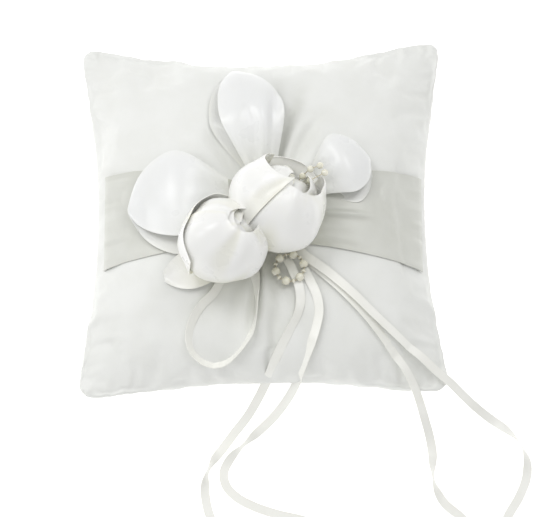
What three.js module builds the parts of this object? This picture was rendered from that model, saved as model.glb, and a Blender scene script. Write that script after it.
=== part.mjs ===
// Ring bearer pillow, lying on its back: a stuffed square satin cushion, a satin sash pinched in at
// the middle, and a spray of two satin flowers with bow loops, ribbon tails and faux pearls.
// Millimetres, +Z up. The origin is on the table under the middle of the cushion, +Y is the cushion's top.

import * as THREE from "three";

// ---------------------------------------------------------------- driving dimensions

const CUSHION = {
  halfWidth: 101, // to the corner tips
  halfHeight: 101,
  sidePull: 12, // how far the middle of each side is drawn in by the filling
  endPull: 12,
  seamHeight: 26,
  frontRise: 36, // crown of the front above the seam
  backDrop: 31, // crown of the back below the seam, before the table flattens it
  roundness: 0.55,
  cloth: 0.8,
  seamGap: 0.3,
  fillClearance: 0.5,
  cells: 18,
};
const TUFT = { x: 0, y: -8, depth: 13, spread: 24 };
const SASH = { y: -3, middleHalf: 9.5, endHalf: 27, thickness: 0.5, lift: 1, reach: 0.99 };
const BACKING = { x: -5, y: -13, long: 34, short: 12, turnDeg: 36, thickness: 2, clearance: 0.4 };
const SATIN = 0.6; // thickness of a satin layer in petals and bow loops
const FLOWER_FOOT_HEIGHT = 1.2; // at least
const LAYER_GAP = 0.35; // air between two layers that rest on each other

const RIBBON = { width: 5, thickness: 0.5, lift: 0.65, tableLift: 0.45 };
const PEARL = { radius: 2.4, bore: 0.9 };
const SPACER = { radius: 1.3, bore: 0.75, flat: 0.75 };
const SPRAY_PEARL = { radius: 1.9, bore: 0.6 };
const RICE = { radius: 1.1, halfLength: 3.4, bore: 0.55 };
const WIRE = 0.3; // radius
const RING = { x: 14.6, y: -36.2, radius: 7.9, count: 6, firstDeg: 135, tieDeg: 105, lift: 3.9 };
const TIE = { thread: 0.3, clearance: 0.35, steps: 14 };

const BUD = { x: -22.7, y: -25, radius: 21, axis: [0.25, 0.2, 0.947], foot: 3.2 };
const BLOOM = { radius: 23, axis: [0.41, 0.59, 0.69], foot: 3.6 };
const NEST = { bearingDeg: 35.9, depth: 3 }; // the way from the bud to the bloom, and how far they press together

const PETAL = { phiFoot: 7, shrink: 2.2 }; // degrees from the foot; how much smaller each further layer is

const COLOURS = {
  cover: 0xf3f1ee,
  sash: 0xe9e8e0,
  petal: 0xf4f2ea,
  ribbon: 0xf1efec,
  felt: 0xece8dc,
  filling: 0xfafafa,
  pearl: 0xefe6cf,
  wire: 0xc9bf9f,
};

// ---------------------------------------------------------------- small tools

const vec = (x, y, z) => new THREE.Vector3(x, y, z);
const lerp = THREE.MathUtils.lerp;
const rad = THREE.MathUtils.degToRad;
const smooth = (t) => THREE.MathUtils.smoothstep(t, 0, 1);
const part = new THREE.Group();

function addMesh(name, geometry, colour, roughness = 0.6, metalness = 0) {
  const material = new THREE.MeshStandardMaterial({ color: colour, roughness, metalness });
  const mesh = new THREE.Mesh(geometry, material);
  mesh.name = name;
  part.add(mesh);
  return mesh;
}

// Six times the signed volume of an indexed geometry: negative when its faces point inwards.
function signedVolume(positions, index) {
  let total = 0;
  for (let i = 0; i < index.length; i += 3) {
    const [a, b, c] = [index[i], index[i + 1], index[i + 2]].map((k) => positions[k]);
    total += a.dot(b.clone().cross(c));
  }
  return total;
}

function closedGeometry(positions, index) {
  if (signedVolume(positions, index) < 0) index.reverse();
  const geometry = new THREE.BufferGeometry().setFromPoints(positions);
  geometry.setIndex(index);
  return geometry;
}

// A closed slab between two surfaces, each a function of (s, t) from 0 to 1, walled in along its four edges.
function slab(top, bottom, cellsS, cellsT) {
  const columns = cellsT + 1;
  const layer = (cellsS + 1) * columns;
  const positions = [];
  for (const surface of [top, bottom])
    for (let i = 0; i <= cellsS; i++)
      for (let j = 0; j <= cellsT; j++) positions.push(surface(i / cellsS, j / cellsT));
  const index = [];
  const quad = (a, b, c, d) => index.push(a, b, c, a, c, d);
  const at = (i, j, k) => k * layer + i * columns + j;
  for (let i = 0; i < cellsS; i++)
    for (let j = 0; j < cellsT; j++) {
      quad(at(i, j, 0), at(i + 1, j, 0), at(i + 1, j + 1, 0), at(i, j + 1, 0));
      quad(at(i, j, 1), at(i, j + 1, 1), at(i + 1, j + 1, 1), at(i + 1, j, 1));
    }
  for (let i = 0; i < cellsS; i++) {
    quad(at(i, 0, 0), at(i, 0, 1), at(i + 1, 0, 1), at(i + 1, 0, 0));
    quad(at(i, cellsT, 0), at(i + 1, cellsT, 0), at(i + 1, cellsT, 1), at(i, cellsT, 1));
  }
  for (let j = 0; j < cellsT; j++) {
    quad(at(0, j, 0), at(0, j + 1, 0), at(0, j + 1, 1), at(0, j, 1));
    quad(at(cellsS, j, 0), at(cellsS, j, 1), at(cellsS, j + 1, 1), at(cellsS, j + 1, 0));
  }
  return closedGeometry(positions, index);
}

// The normal of a surface of (s, t), by small differences.
function normalOf(surface, s, t) {
  const step = 1e-3;
  const along = surface(s + step, t).sub(surface(s - step, t));
  const across = surface(s, t + step).sub(surface(s, t - step));
  return along.cross(across).normalize();
}

// A sheet of even thickness on both sides of a middle surface.
function sheetOf(middle, thickness, cellsS, cellsT) {
  const side = (sign) => (s, t) =>
    middle(s, t).addScaledVector(normalOf(middle, s, t), (sign * thickness) / 2);
  return slab(side(1), side(-1), cellsS, cellsT);
}

// ---------------------------------------------------------------- cushion

// Half the width of the outline at height v, and half its height at width u, both from -1 to 1.
const outlineX = (v, inset) =>
  CUSHION.halfWidth - inset - CUSHION.sidePull * (1 - Math.abs(v) ** 3);
const outlineY = (u, inset) =>
  CUSHION.halfHeight - inset - CUSHION.endPull * (1 - Math.abs(u) ** 3);
const dome = (u, v) =>
  (Math.max(0, 1 - u * u) * Math.max(0, 1 - v * v)) ** CUSHION.roundness;
const tuftDepth = (x, y) =>
  TUFT.depth * Math.exp(-((x - TUFT.x) ** 2 + (y - TUFT.y) ** 2) / (2 * TUFT.spread ** 2));

// The front of the cushion, inset below its outer face, with base as the height of its edge.
function frontPoint(u, v, inset, base) {
  const x = u * outlineX(v, inset);
  const y = v * outlineY(u, inset);
  const crown = (CUSHION.frontRise - inset) * dome(u, v);
  const edgeFade = smooth(dome(u, v) * 2);
  return vec(x, y, base + crown - tuftDepth(x, y) * edgeFade);
}

// The back of the cushion, pressed flat where it rests on the table.
function backPoint(u, v, inset, base) {
  const crown = (CUSHION.backDrop - inset) * dome(u, v);
  return vec(u * outlineX(v, inset), v * outlineY(u, inset), Math.max(inset, base - crown));
}

// Stations from -1 to 1 that bunch up towards the seam, where the cloth turns fastest.
const station = (s) => {
  const a = 2 * s - 1;
  return a * (1.3 - 0.3 * a * a);
};

function buildCushion() {
  const { cloth, cells, seamHeight, seamGap, fillClearance } = CUSHION;
  const upper = seamHeight + seamGap / 2;
  const lower = seamHeight - seamGap / 2;
  const front = (inset) => (s, t) => frontPoint(station(s), station(t), inset, upper);
  const back = (inset) => (s, t) => backPoint(station(s), station(t), inset, lower);
  addMesh("cover_front", slab(front(0), front(cloth), cells, cells), COLOURS.cover);
  addMesh("cover_back", slab(back(0), back(cloth), cells, cells), COLOURS.cover);
  const inset = cloth + fillClearance;
  const edge = seamGap / 2;
  const top = (s, t) => frontPoint(station(s), station(t), inset, seamHeight + edge / 2);
  const bottom = (s, t) => backPoint(station(s), station(t), inset, seamHeight - edge / 2);
  addMesh("stuffing", slab(top, bottom, cells, cells), COLOURS.filling, 0.95);
}

// Where on the front a plan point lies: the two outline equations solved by turns.
function frontAt(x, y) {
  let u = 0;
  let v = 0;
  for (let i = 0; i < 30; i++) {
    u = x / outlineX(v, 0);
    v = y / outlineY(u, 0);
  }
  const surface = (a, b) => frontPoint(a, b, 0, CUSHION.seamHeight + CUSHION.seamGap / 2);
  return { point: surface(u, v), normal: normalOf(surface, u, v) };
}

// A point that lies a given height off the front, square to it.
function onFront(x, y, lift) {
  const { point, normal } = frontAt(x, y);
  return point.addScaledVector(normal, lift);
}

// ---------------------------------------------------------------- sash and felt backing

// The band opens out fast beside the pinch and slowly towards the sides, as a square root does.
const sashHalf = (x) => {
  const share = Math.min(1, Math.abs(x) / (CUSHION.halfWidth - CUSHION.sidePull));
  return lerp(SASH.middleHalf, SASH.endHalf, Math.sqrt(share));
};

function buildSash() {
  const surface = (lift) => (s, t) => {
    const u = SASH.reach * station(s);
    const x = u * outlineX(0, 0);
    const y = SASH.y + (2 * t - 1) * sashHalf(x);
    const v = y / outlineY(u, 0);
    const front = (a, b) => frontPoint(a, b, 0, CUSHION.seamHeight + CUSHION.seamGap / 2);
    return front(u, v).addScaledVector(normalOf(front, u, v), lift);
  };
  const geometry = slab(surface(SASH.lift + SASH.thickness), surface(SASH.lift), 26, 6);
  addMesh("sash", geometry, COLOURS.sash, 0.4);
}

const SASH_TOP = SASH.lift + SASH.thickness;
const BACKING_TOP = SASH_TOP + BACKING.clearance + BACKING.thickness;

function buildBacking() {
  const turn = rad(BACKING.turnDeg);
  // An ellipse filled from a square grid, so that its middle needs no pole.
  const surface = (lift) => (s, t) => {
    const a = 2 * s - 1;
    const b = 2 * t - 1;
    const along = BACKING.long * a * Math.sqrt(1 - (b * b) / 2);
    const across = BACKING.short * b * Math.sqrt(1 - (a * a) / 2);
    const x = BACKING.x + along * Math.cos(turn) - across * Math.sin(turn);
    const y = BACKING.y + along * Math.sin(turn) + across * Math.cos(turn);
    return onFront(x, y, lift);
  };
  const low = SASH_TOP + BACKING.clearance;
  addMesh("felt_backing", slab(surface(low + BACKING.thickness), surface(low), 10, 5), COLOURS.felt, 0.95);
}

// ---------------------------------------------------------------- wide bow loops

// A satin ribbon pinched at its root, carried out low over the cushion, folded round and brought back on top.
const LOOPS = {
  loop_top: { root: [-1, 17], tip: [-15, 76], half: 18, height: 12, lean: -4, lift: 1.2 },
  loop_left: { root: [-15, 3], tip: [-73, 2], half: 20, height: 12, lean: 5, lift: 2.1 },
  loop_right: { root: [27, 9], tip: [58, 24], half: 17, height: 11, lean: -3, lift: 2.1 },
};
const LOOP_SHAPE = { rootHalf: 4.5, mouth: 1.4, endRounding: 0.2, bulge: 3 };

function loopSurface({ root, tip, half, height, lean, lift }) {
  const run = vec(tip[0] - root[0], tip[1] - root[1], 0);
  const length = run.length();
  const out = run.normalize();
  const side = vec(-out.y, out.x, 0);
  return (s, t) => {
    const across = 2 * t - 1;
    const turn = Math.PI * s;
    const reach = Math.sin(turn) ** 0.8; // 0 at both roots, 1 at the fold
    const distance = length * reach * (1 - LOOP_SHAPE.endRounding * across * across * reach);
    const opened = smooth(Math.min(1, distance / length / 0.75));
    const width = lerp(LOOP_SHAPE.rootHalf, half, opened);
    const onTop = (1 - Math.cos(turn)) / 2; // 0 on the lower layer, 1 on the upper
    const shift = lean * Math.sin(turn) * (2 * onTop - 1);
    const x = root[0] + out.x * distance + side.x * (across * width + shift);
    const y = root[1] + out.y * distance + side.y * (across * width + shift);
    const bulge = LOOP_SHAPE.bulge * onTop * opened * (1 - across * across);
    const rise = lerp(LOOP_SHAPE.mouth, height, opened) * onTop;
    const ground = frontAt(x, y).point.z;
    return vec(x, y, ground + lift + rise + bulge);
  };
}

function buildLoops() {
  for (const [name, loop] of Object.entries(LOOPS)) {
    const middle = loopSurface(loop);
    const nearRoot = (s) => lerp(0.02, 0.98, s);
    addMesh(name, sheetOf((s, t) => middle(nearRoot(s), t), SATIN, 20, 4), COLOURS.petal, 0.4);
  }
}

// ---------------------------------------------------------------- narrow ribbons

// Route points are [x, y, height]: no height means lying on the cushion, with the lift of that ribbon.
const TAILS = {
  tail_inner_left: {
    lift: RIBBON.lift,
    route: [
      [13, -30], [16.5, -38], [19.5, -46], [20.3, -53], [18.5, -61], [14.5, -69], [9.5, -78],
      [6, -84.5, 41], [2.5, -91.5, 31], [-2.5, -99, 18], [-9, -107.5, 6.5], [-16, -115.5, 1.6], [-22, -123.5],
      [-27.5, -131], [-31, -138.5], [-32.2, -146], [-31.5, -154], [-29, -163], [-24, -173], [-16.5, -182],
      [-9, -191],
    ],
  },
  tail_inner_right: {
    lift: RIBBON.lift,
    route: [
      [22, -36.5], [25.8, -44], [29, -51.5], [30.2, -59], [28.8, -67], [26, -75.5],
      [22.8, -83.5, 38.5], [19, -91.5, 28.5], [13.5, -99.5, 17], [5.5, -108, 7.5], [-4, -116, 1.6], [-12, -123.5],
      [-18.3, -130], [-21.8, -137.5], [-20.5, -145], [-14.5, -151.5], [-4.5, -156.8], [8, -161], [21, -164],
      [34, -168], [46, -174], [56, -182],
    ],
  },
  tail_outer_lower: {
    lift: RIBBON.lift,
    route: [
      [15, -21], [20, -26], [26, -32], [33, -38.5], [41, -46], [49.5, -54.5], [57.5, -63], [65, -72],
      [71.5, -80.5],
      [77, -88, 39], [81.5, -95, 33], [85.5, -102, 22], [89, -109.5, 10], [92, -118, 2.4],
      [93.5, -127], [93.3, -136], [94.5, -145], [99.5, -154.5], [108.5, -162.5], [115.5, -171],
      [116.5, -181], [113, -191],
    ],
  },
  tail_outer_upper: {
    lift: RIBBON.lift + RIBBON.thickness + LAYER_GAP + 0.3,
    route: [
      [16, -21.5], [20.5, -25.5], [25, -29.5], [33, -36], [41.5, -43.5], [50.5, -51.5], [59.5, -59.8],
      [68.5, -67.5], [77.5, -75],
      [86, -81.5, 39], [94, -87.8, 34], [102, -93, 28], [110, -98.2, 18], [118, -103, 8.5], [126, -107.8, 2.4],
      [134.5, -113.5], [141.5, -121], [145.4, -130], [145.2, -140], [141, -151], [134.5, -162], [130.5, -173],
      [131.5, -184],
    ],
  },
};
const NARROW_LOOP = {
  lift: RIBBON.lift,
  route: [
    [-22.5, -41], [-27, -49.5], [-33.5, -56.5], [-38.3, -64.5], [-40.3, -72.5], [-38.8, -79.5],
    [-33.7, -84.5],
    [-26.8, -86.3], [-19.3, -84.5], [-12.2, -79], [-7, -71.5], [-4.2, -63.5], [-3.2, -54], [-3.6, -46],
    [-5, -37], [-7, -28.5],
  ],
};

// Centre points and the directions that the ribbon's face looks in, at each route point.
function layRoute({ lift, route }) {
  const inside = (x, y) =>
    Math.abs(x) < outlineX(y / CUSHION.halfHeight, 0) - 2 &&
    Math.abs(y) < outlineY(x / CUSHION.halfWidth, 0) - 2;
  return route.map(([x, y, height]) => {
    if (height === undefined && inside(x, y)) {
      const { point, normal } = frontAt(x, y);
      return { at: point.addScaledVector(normal, lift), up: normal };
    }
    return { at: vec(x, y, height ?? RIBBON.tableLift), up: vec(0, 0, 1) };
  });
}

function ribbonGeometry(strand, steps) {
  const laid = layRoute(strand);
  const centre = new THREE.CatmullRomCurve3(laid.map((p) => p.at), false, "centripetal");
  const stations = [];
  for (let i = 0; i <= steps; i++) {
    const k = (i / steps) * (laid.length - 1);
    const low = Math.min(Math.floor(k), laid.length - 2);
    const up = laid[low].up.clone().lerp(laid[low + 1].up, k - low);
    const tangent = centre.getTangent(i / steps);
    const across = tangent.clone().cross(up).normalize();
    stations.push({ at: centre.getPoint(i / steps), across, face: across.clone().cross(tangent) });
  }
  const surface = (side) => (s, t) => {
    const { at, across, face } = stations[Math.round(s * steps)];
    const offset = (t - 0.5) * RIBBON.width;
    return at.clone().addScaledVector(across, offset).addScaledVector(face, (side * RIBBON.thickness) / 2);
  };
  return slab(surface(1), surface(-1), steps, 1);
}

function buildNarrowRibbons() {
  for (const [name, strand] of Object.entries(TAILS))
    addMesh(name, ribbonGeometry(strand, 3 * (strand.route.length - 1)), COLOURS.ribbon, 0.4);
  const steps = 3 * (NARROW_LOOP.route.length - 1);
  addMesh("loop_narrow", ribbonGeometry(NARROW_LOOP, steps), COLOURS.ribbon, 0.4);
}

// ---------------------------------------------------------------- flowers

// The highest point of the felt under a small disc, with the clearance that a seated piece keeps.
function feltUnder(x, y, radius) {
  const rim = Array.from({ length: 12 }, (_, k) => {
    const angle = (k * Math.PI) / 6;
    const lift = BACKING_TOP + BACKING.clearance;
    return onFront(x + radius * Math.cos(angle), y + radius * Math.sin(angle), lift).z;
  });
  return Math.max(...rim);
}

// The frame of a flower: its axis points out of the opening, and it stands on the felt on a short foot.
function flowerFrame({ x, y, radius, axis, foot }) {
  const out = vec(...axis).normalize();
  const reach = radius + SATIN / 2 + LAYER_GAP;
  const seat = feltUnder(x - out.x * reach, y - out.y * reach, foot);
  const onBelly = feltUnder(x, y, foot) + radius + SATIN / 2;
  const onFoot = seat + FLOWER_FOOT_HEIGHT + out.z * reach;
  const centre = vec(x, y, Math.max(onBelly, onFoot));
  const pole = centre.clone().addScaledVector(out, -reach);
  const turn = new THREE.Quaternion().setFromUnitVectors(vec(0, 0, 1), out);
  return { centre, out, turn, pole, seat };
}

// A petal is a patch of a round cup. Cups share the flower's foot: each further one in is smaller and
// stands one layer higher. Angles are in degrees: theta round the axis, phi up from the foot.
function petalGeometry(flower, layer, { theta, half, phiRim }) {
  const { centre, out, turn } = flowerFrame(flower);
  const radius = flower.radius - layer * PETAL.shrink;
  const foot = centre.clone().addScaledVector(out, -flower.radius + layer * (SATIN + LAYER_GAP));
  const middle = (s, t) => {
    const phi = rad(lerp(PETAL.phiFoot, phiRim, s));
    const tipShare = Math.max(0, (s - 0.45) / 0.55);
    const span = half * Math.sqrt(1 - 0.72 * tipShare * tipShare);
    const angle = rad(theta + span * (2 * t - 1));
    const local = vec(Math.sin(phi) * Math.cos(angle), Math.sin(phi) * Math.sin(angle), 1 - Math.cos(phi));
    return local.multiplyScalar(radius).applyQuaternion(turn).add(foot);
  };
  return sheetOf(middle, SATIN, 7, 6);
}

const BUD_PETALS = {
  bud_petal_front: { theta: -60, half: 88, phiRim: 128 },
  bud_petal_left: { theta: 150, half: 80, phiRim: 122 },
  bud_petal_back: { theta: 60, half: 80, phiRim: 130 },
  bud_petal_inner: { theta: 0, half: 120, phiRim: 142 },
};
const BLOOM_PETALS = {
  bloom_petal_front: { theta: -35, half: 68, phiRim: 104 },
  bloom_petal_left: { theta: -150, half: 62, phiRim: 108 },
  bloom_petal_back: { theta: 90, half: 66, phiRim: 104 },
  bloom_petal_right: { theta: 20, half: 60, phiRim: 96 },
};

function buildFlower(prefix, flower, petals, core) {
  Object.entries(petals).forEach(([name, petal], layer) => {
    addMesh(name, petalGeometry(flower, layer, petal), COLOURS.petal, 0.4);
  });
  const { centre, out, turn, pole, seat: floor } = flowerFrame(flower);
  const last = Object.keys(petals).length - 1;
  // The rolled core is a ball that rests on the edge of the small hole at the innermost petal's foot.
  const cup = flower.radius - last * PETAL.shrink;
  const holeRadius = cup * Math.sin(rad(PETAL.phiFoot));
  const holeRise = cup * (1 - Math.cos(rad(PETAL.phiFoot)));
  const contact = core.radius + SATIN / 2 + LAYER_GAP;
  const rise = holeRise + Math.sqrt(contact ** 2 - holeRadius ** 2);
  const seat = centre.clone().addScaledVector(out, -flower.radius + last * (SATIN + LAYER_GAP) + rise);
  const ball = new THREE.SphereGeometry(core.radius, 12, 8);
  ball.scale(1, 1, core.stretch);
  ball.rotateX(Math.PI / 2).applyQuaternion(turn);
  ball.translate(seat.x, seat.y, seat.z);
  addMesh(prefix + "_core", ball, COLOURS.petal, 0.5);
  // The foot where the petals are stitched together, seated on the felt.
  const height = pole.z - floor;
  const foot = new THREE.CylinderGeometry(flower.foot * 0.5, flower.foot, height, 12);
  foot.rotateX(Math.PI / 2).translate(pole.x, pole.y, floor + height / 2);
  addMesh(prefix + "_foot", foot, COLOURS.felt, 0.8);
  return { coreTop: seat.clone().addScaledVector(out, core.radius), out };
}

// The bloom stands beside the bud and presses a little into it.
function besideBud(flower) {
  const apart = BUD.radius + flower.radius - NEST.depth;
  const bearing = rad(NEST.bearingDeg);
  return { ...flower, x: BUD.x + apart * Math.cos(bearing), y: BUD.y + apart * Math.sin(bearing) };
}

// A single flat leaf-like petal that lies on the cushion under the bud.
function buildUnderPetal() {
  const root = [-31.5, -37.5];
  const tip = [-52.5, -41.5];
  const half = 10;
  const out = vec(tip[0] - root[0], tip[1] - root[1], 0);
  const side = vec(-out.y, out.x, 0).normalize();
  // It lies on the felt at its root and steps down to the cover beyond the felt's edge.
  const surface = (layer) => (s, t) => {
    const width = half * Math.sin(Math.PI * lerp(0.22, 0.92, s)) ** 0.7;
    const x = root[0] + out.x * s + side.x * width * (2 * t - 1);
    const y = root[1] + out.y * s + side.y * width * (2 * t - 1);
    const low = lerp(BACKING_TOP + LAYER_GAP, SASH.lift, smooth((s - 0.45) / 0.55));
    return onFront(x, y, low + layer);
  };
  addMesh("bud_under_petal", slab(surface(SATIN), surface(0), 8, 5), COLOURS.petal, 0.4);
}

// ---------------------------------------------------------------- beads

// A round bead with a straight hole; stretch above 1 makes a rice-shaped one.
function beadGeometry(radius, bore, halfLength, sides, arcs) {
  const edge = Math.asin(bore / radius);
  const profile = [];
  for (let i = 0; i <= arcs; i++) {
    const angle = lerp(-Math.PI / 2 + edge, Math.PI / 2 - edge, i / arcs);
    profile.push(new THREE.Vector2(radius * Math.cos(angle), halfLength * Math.sin(angle)));
  }
  profile.push(profile[0].clone());
  return new THREE.LatheGeometry(profile, sides);
}

// Puts a bead on a wire: its hole along the wire, its middle at a point.
function seatBead(geometry, at, along) {
  const turn = new THREE.Quaternion().setFromUnitVectors(vec(0, 1, 0), along);
  return geometry.applyQuaternion(turn).translate(at.x, at.y, at.z);
}

function wireGeometry(points, radius, steps) {
  const section = new THREE.Shape(
    Array.from({ length: 6 }, (_, k) => new THREE.Vector2(
      radius * Math.cos((k * Math.PI) / 3),
      radius * Math.sin((k * Math.PI) / 3),
    )),
  );
  const path = new THREE.CatmullRomCurve3(points, false, "centripetal");
  return new THREE.ExtrudeGeometry(section, { steps, extrudePath: path, curveSegments: 1 });
}

function buildPearlRing() {
  const { point, normal } = frontAt(RING.x, RING.y);
  const centre = point.addScaledVector(normal, RING.lift);
  const turn = new THREE.Quaternion().setFromUnitVectors(vec(0, 0, 1), normal);
  const around = (deg, radius) =>
    vec(Math.cos(rad(deg)), Math.sin(rad(deg)), 0).multiplyScalar(radius).applyQuaternion(turn).add(centre);
  const tangent = (deg) => vec(-Math.sin(rad(deg)), Math.cos(rad(deg)), 0).applyQuaternion(turn);
  // A straight hole sits a little inside the wire's circle, to share the bow of the wire.
  const seatRadius = (halfLength) => RING.radius - (halfLength * halfLength) / (4 * RING.radius);
  const pitch = 360 / RING.count;
  for (let k = 0; k < RING.count; k++) {
    const deg = RING.firstDeg - pitch * k;
    const pearl = beadGeometry(PEARL.radius, PEARL.bore, PEARL.radius, 12, 7);
    seatBead(pearl, around(deg, seatRadius(PEARL.radius)), tangent(deg));
    addMesh(`ring_pearl_${k + 1}`, pearl, COLOURS.pearl, 0.25);
  }
  for (let k = 1; k < RING.count; k++) {
    const deg = RING.tieDeg - pitch * k;
    const spacer = beadGeometry(SPACER.radius, SPACER.bore, SPACER.radius * SPACER.flat, 9, 4);
    seatBead(spacer, around(deg, seatRadius(SPACER.radius * SPACER.flat)), tangent(deg));
    addMesh(`ring_spacer_${k}`, spacer, COLOURS.pearl, 0.25);
  }
  const wire = new THREE.TorusGeometry(RING.radius, WIRE, 5, 36);
  wire.applyQuaternion(turn).translate(centre.x, centre.y, centre.z);
  addMesh("ring_wire", wire, COLOURS.wire, 0.3, 0.6);
  // A stitch of thread over the wire holds the ring down and lets it swing.
  const hub = around(RING.tieDeg, RING.radius);
  const radial = hub.clone().sub(centre).normalize();
  const bend = WIRE + TIE.clearance + TIE.thread;
  const drop = RING.lift - RIBBON.lift;
  const bow = (sideways, up) =>
    hub.clone().addScaledVector(radial, sideways).addScaledVector(normal, up);
  const points = [
    bow(bend, -drop), bow(bend, -drop / 2), bow(bend, 0), bow(bend * 0.7, bend * 0.7), bow(0, bend),
    bow(-bend * 0.7, bend * 0.7), bow(-bend, 0), bow(-bend, -drop / 2), bow(-bend, -drop),
  ];
  addMesh("ring_tie", wireGeometry(points, TIE.thread, TIE.steps), COLOURS.ribbon, 0.7);
}

// Two beaded wires that rise from the heart of the open flower and lean over its rim.
function buildSpray({ coreTop, out }) {
  const start = coreTop.clone().addScaledVector(out, WIRE + LAYER_GAP);
  const wires = {
    spray_wire_upper: {
      sway: [0, 0.6],
      points: [[19, 6.5, 79], [24, 10.5, 84.5], [28, 12, 86], [32, 13.2, 86.5]],
      beads: [
        ["spray_rice_upper", 0.42, true],
        ["spray_pearl_1", 0.62],
        ["spray_pearl_2", 0.8],
        ["spray_pearl_3", 0.955],
      ],
    },
    spray_wire_lower: {
      sway: [0.6, -0.6],
      points: [[20.5, 2.8, 78.5], [26, 5.8, 83.5], [30.5, 8.2, 85], [35, 9.8, 85]],
      beads: [
        ["spray_rice_lower", 0.42, true],
        ["spray_pearl_4", 0.68],
        ["spray_pearl_5", 0.94],
      ],
    },
  };
  for (const [name, { sway, points, beads }] of Object.entries(wires)) {
    const route = [start.clone().add(vec(sway[0], sway[1], 0)), ...points.map((p) => vec(...p))];
    const path = new THREE.CatmullRomCurve3(route, false, "centripetal");
    addMesh(name, wireGeometry(route, WIRE * 0.8, 14), COLOURS.wire, 0.3, 0.6);
    for (const [beadName, share, rice] of beads) {
      const bead = rice
        ? beadGeometry(RICE.radius, RICE.bore, RICE.halfLength, 8, 6)
        : beadGeometry(SPRAY_PEARL.radius, SPRAY_PEARL.bore, SPRAY_PEARL.radius, 10, 6);
      seatBead(bead, path.getPointAt(share), path.getTangentAt(share));
      addMesh(beadName, bead, COLOURS.pearl, 0.25);
    }
  }
}

// ---------------------------------------------------------------- assembly

buildCushion();
buildSash();
buildBacking();
buildLoops();
buildNarrowRibbons();
buildUnderPetal();
buildFlower("bud", BUD, BUD_PETALS, { radius: 7.5, stretch: 1 });
const heart = buildFlower("bloom", besideBud(BLOOM), BLOOM_PETALS, { radius: 5, stretch: 1 });
buildSpray(heart);
buildPearlRing();

export default part;
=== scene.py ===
"""Ring bearer pillow: a stuffed satin cushion with a pinched sash, two satin flowers, bow loops,
free ribbon tails and a small swinging ring of faux pearls.

Sizes are in millimetres and become metres when a mesh is made. +X is right, +Y is away from the
ribbon tails and +Z is up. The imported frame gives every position; the classes below give the looks.
"""

from __future__ import annotations

import logging
from dataclasses import dataclass, field
from enum import Enum

import bpy
import numpy as np
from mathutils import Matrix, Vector

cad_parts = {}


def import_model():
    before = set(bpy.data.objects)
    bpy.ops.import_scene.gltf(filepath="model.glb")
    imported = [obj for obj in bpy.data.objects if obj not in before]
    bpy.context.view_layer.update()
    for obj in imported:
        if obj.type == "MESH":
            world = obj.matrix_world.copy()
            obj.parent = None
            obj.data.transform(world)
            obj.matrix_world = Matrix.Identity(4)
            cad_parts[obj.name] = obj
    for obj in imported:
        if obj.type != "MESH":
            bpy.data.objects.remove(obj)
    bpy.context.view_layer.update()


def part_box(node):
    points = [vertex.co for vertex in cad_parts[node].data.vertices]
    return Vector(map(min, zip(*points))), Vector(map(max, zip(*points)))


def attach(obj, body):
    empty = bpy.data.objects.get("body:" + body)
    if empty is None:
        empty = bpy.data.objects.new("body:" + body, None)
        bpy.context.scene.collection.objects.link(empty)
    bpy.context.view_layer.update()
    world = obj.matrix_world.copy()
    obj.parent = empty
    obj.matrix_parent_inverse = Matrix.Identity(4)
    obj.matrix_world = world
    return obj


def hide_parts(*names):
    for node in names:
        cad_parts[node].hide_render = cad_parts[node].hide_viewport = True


MM = 0.001
SHARP_DEG = 55  # a fold between faces sharper than this stays crisp
PETAL_CLOTH = 0.35  # thickness of a satin petal, in mm
LOG = logging.getLogger("ring_pillow")
Array = np.ndarray
Piece = bpy.types.Object
Material = bpy.types.Material
Tree = bpy.types.NodeTree
Node = bpy.types.Node
Socket = bpy.types.NodeSocket


# ------------------------------------------------------------------ small tools


def linear(hex_colour: str) -> tuple[float, float, float, float]:
    """Turn an sRGB hex colour into linear RGBA.

    Args:
        hex_colour: six hex digits after a hash.

    Returns:
        Red, green, blue and an alpha of one.
    """
    channels = [int(hex_colour[i : i + 2], 16) / 255 for i in (1, 3, 5)]
    curve = [c / 12.92 if c <= 0.04045 else ((c + 0.055) / 1.055) ** 2.4 for c in channels]
    return (curve[0], curve[1], curve[2], 1.0)


def smooth(value: Array, low: float = 0.0, high: float = 1.0) -> Array:
    """Rise from 0 at low to 1 at high along the cubic 3t^2 - 2t^3, flat outside.

    Args:
        value: what is eased.
        low: where the rise starts.
        high: where it ends.

    Returns:
        Numbers from 0 to 1 in the shape of value.
    """
    t = np.clip((value - low) / (high - low), 0.0, 1.0)
    return t * t * (3.0 - 2.0 * t)


def unit(vectors: Array) -> Array:
    """Scale vectors on the last axis to length one."""
    return vectors / np.maximum(np.linalg.norm(vectors, axis=-1, keepdims=True), 1e-9)


def grid_normals(points: Array) -> Array:
    """Give a grid's normals: the cross product of its two central differences.

    Args:
        points: rows by columns by three.

    Returns:
        Unit normals in the same shape.
    """
    along = np.gradient(points, axis=0)
    across = np.gradient(points, axis=1)
    return unit(np.cross(along, across))


def box_mm(*nodes: str) -> tuple[Array, Array]:
    """Give the box round some frame nodes.

    Args:
        nodes: names of CAD nodes.

    Returns:
        Lowest and highest corner in millimetres.
    """
    boxes = [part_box(node) for node in nodes]
    low = np.min([np.array(b[0], dtype=float) for b in boxes], axis=0)
    high = np.max([np.array(b[1], dtype=float) for b in boxes], axis=0)
    return low / MM, high / MM


def centre_mm(*nodes: str) -> Array:
    """Give the middle of the box round some frame nodes, in millimetres."""
    low, high = box_mm(*nodes)
    return (low + high) / 2


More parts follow.
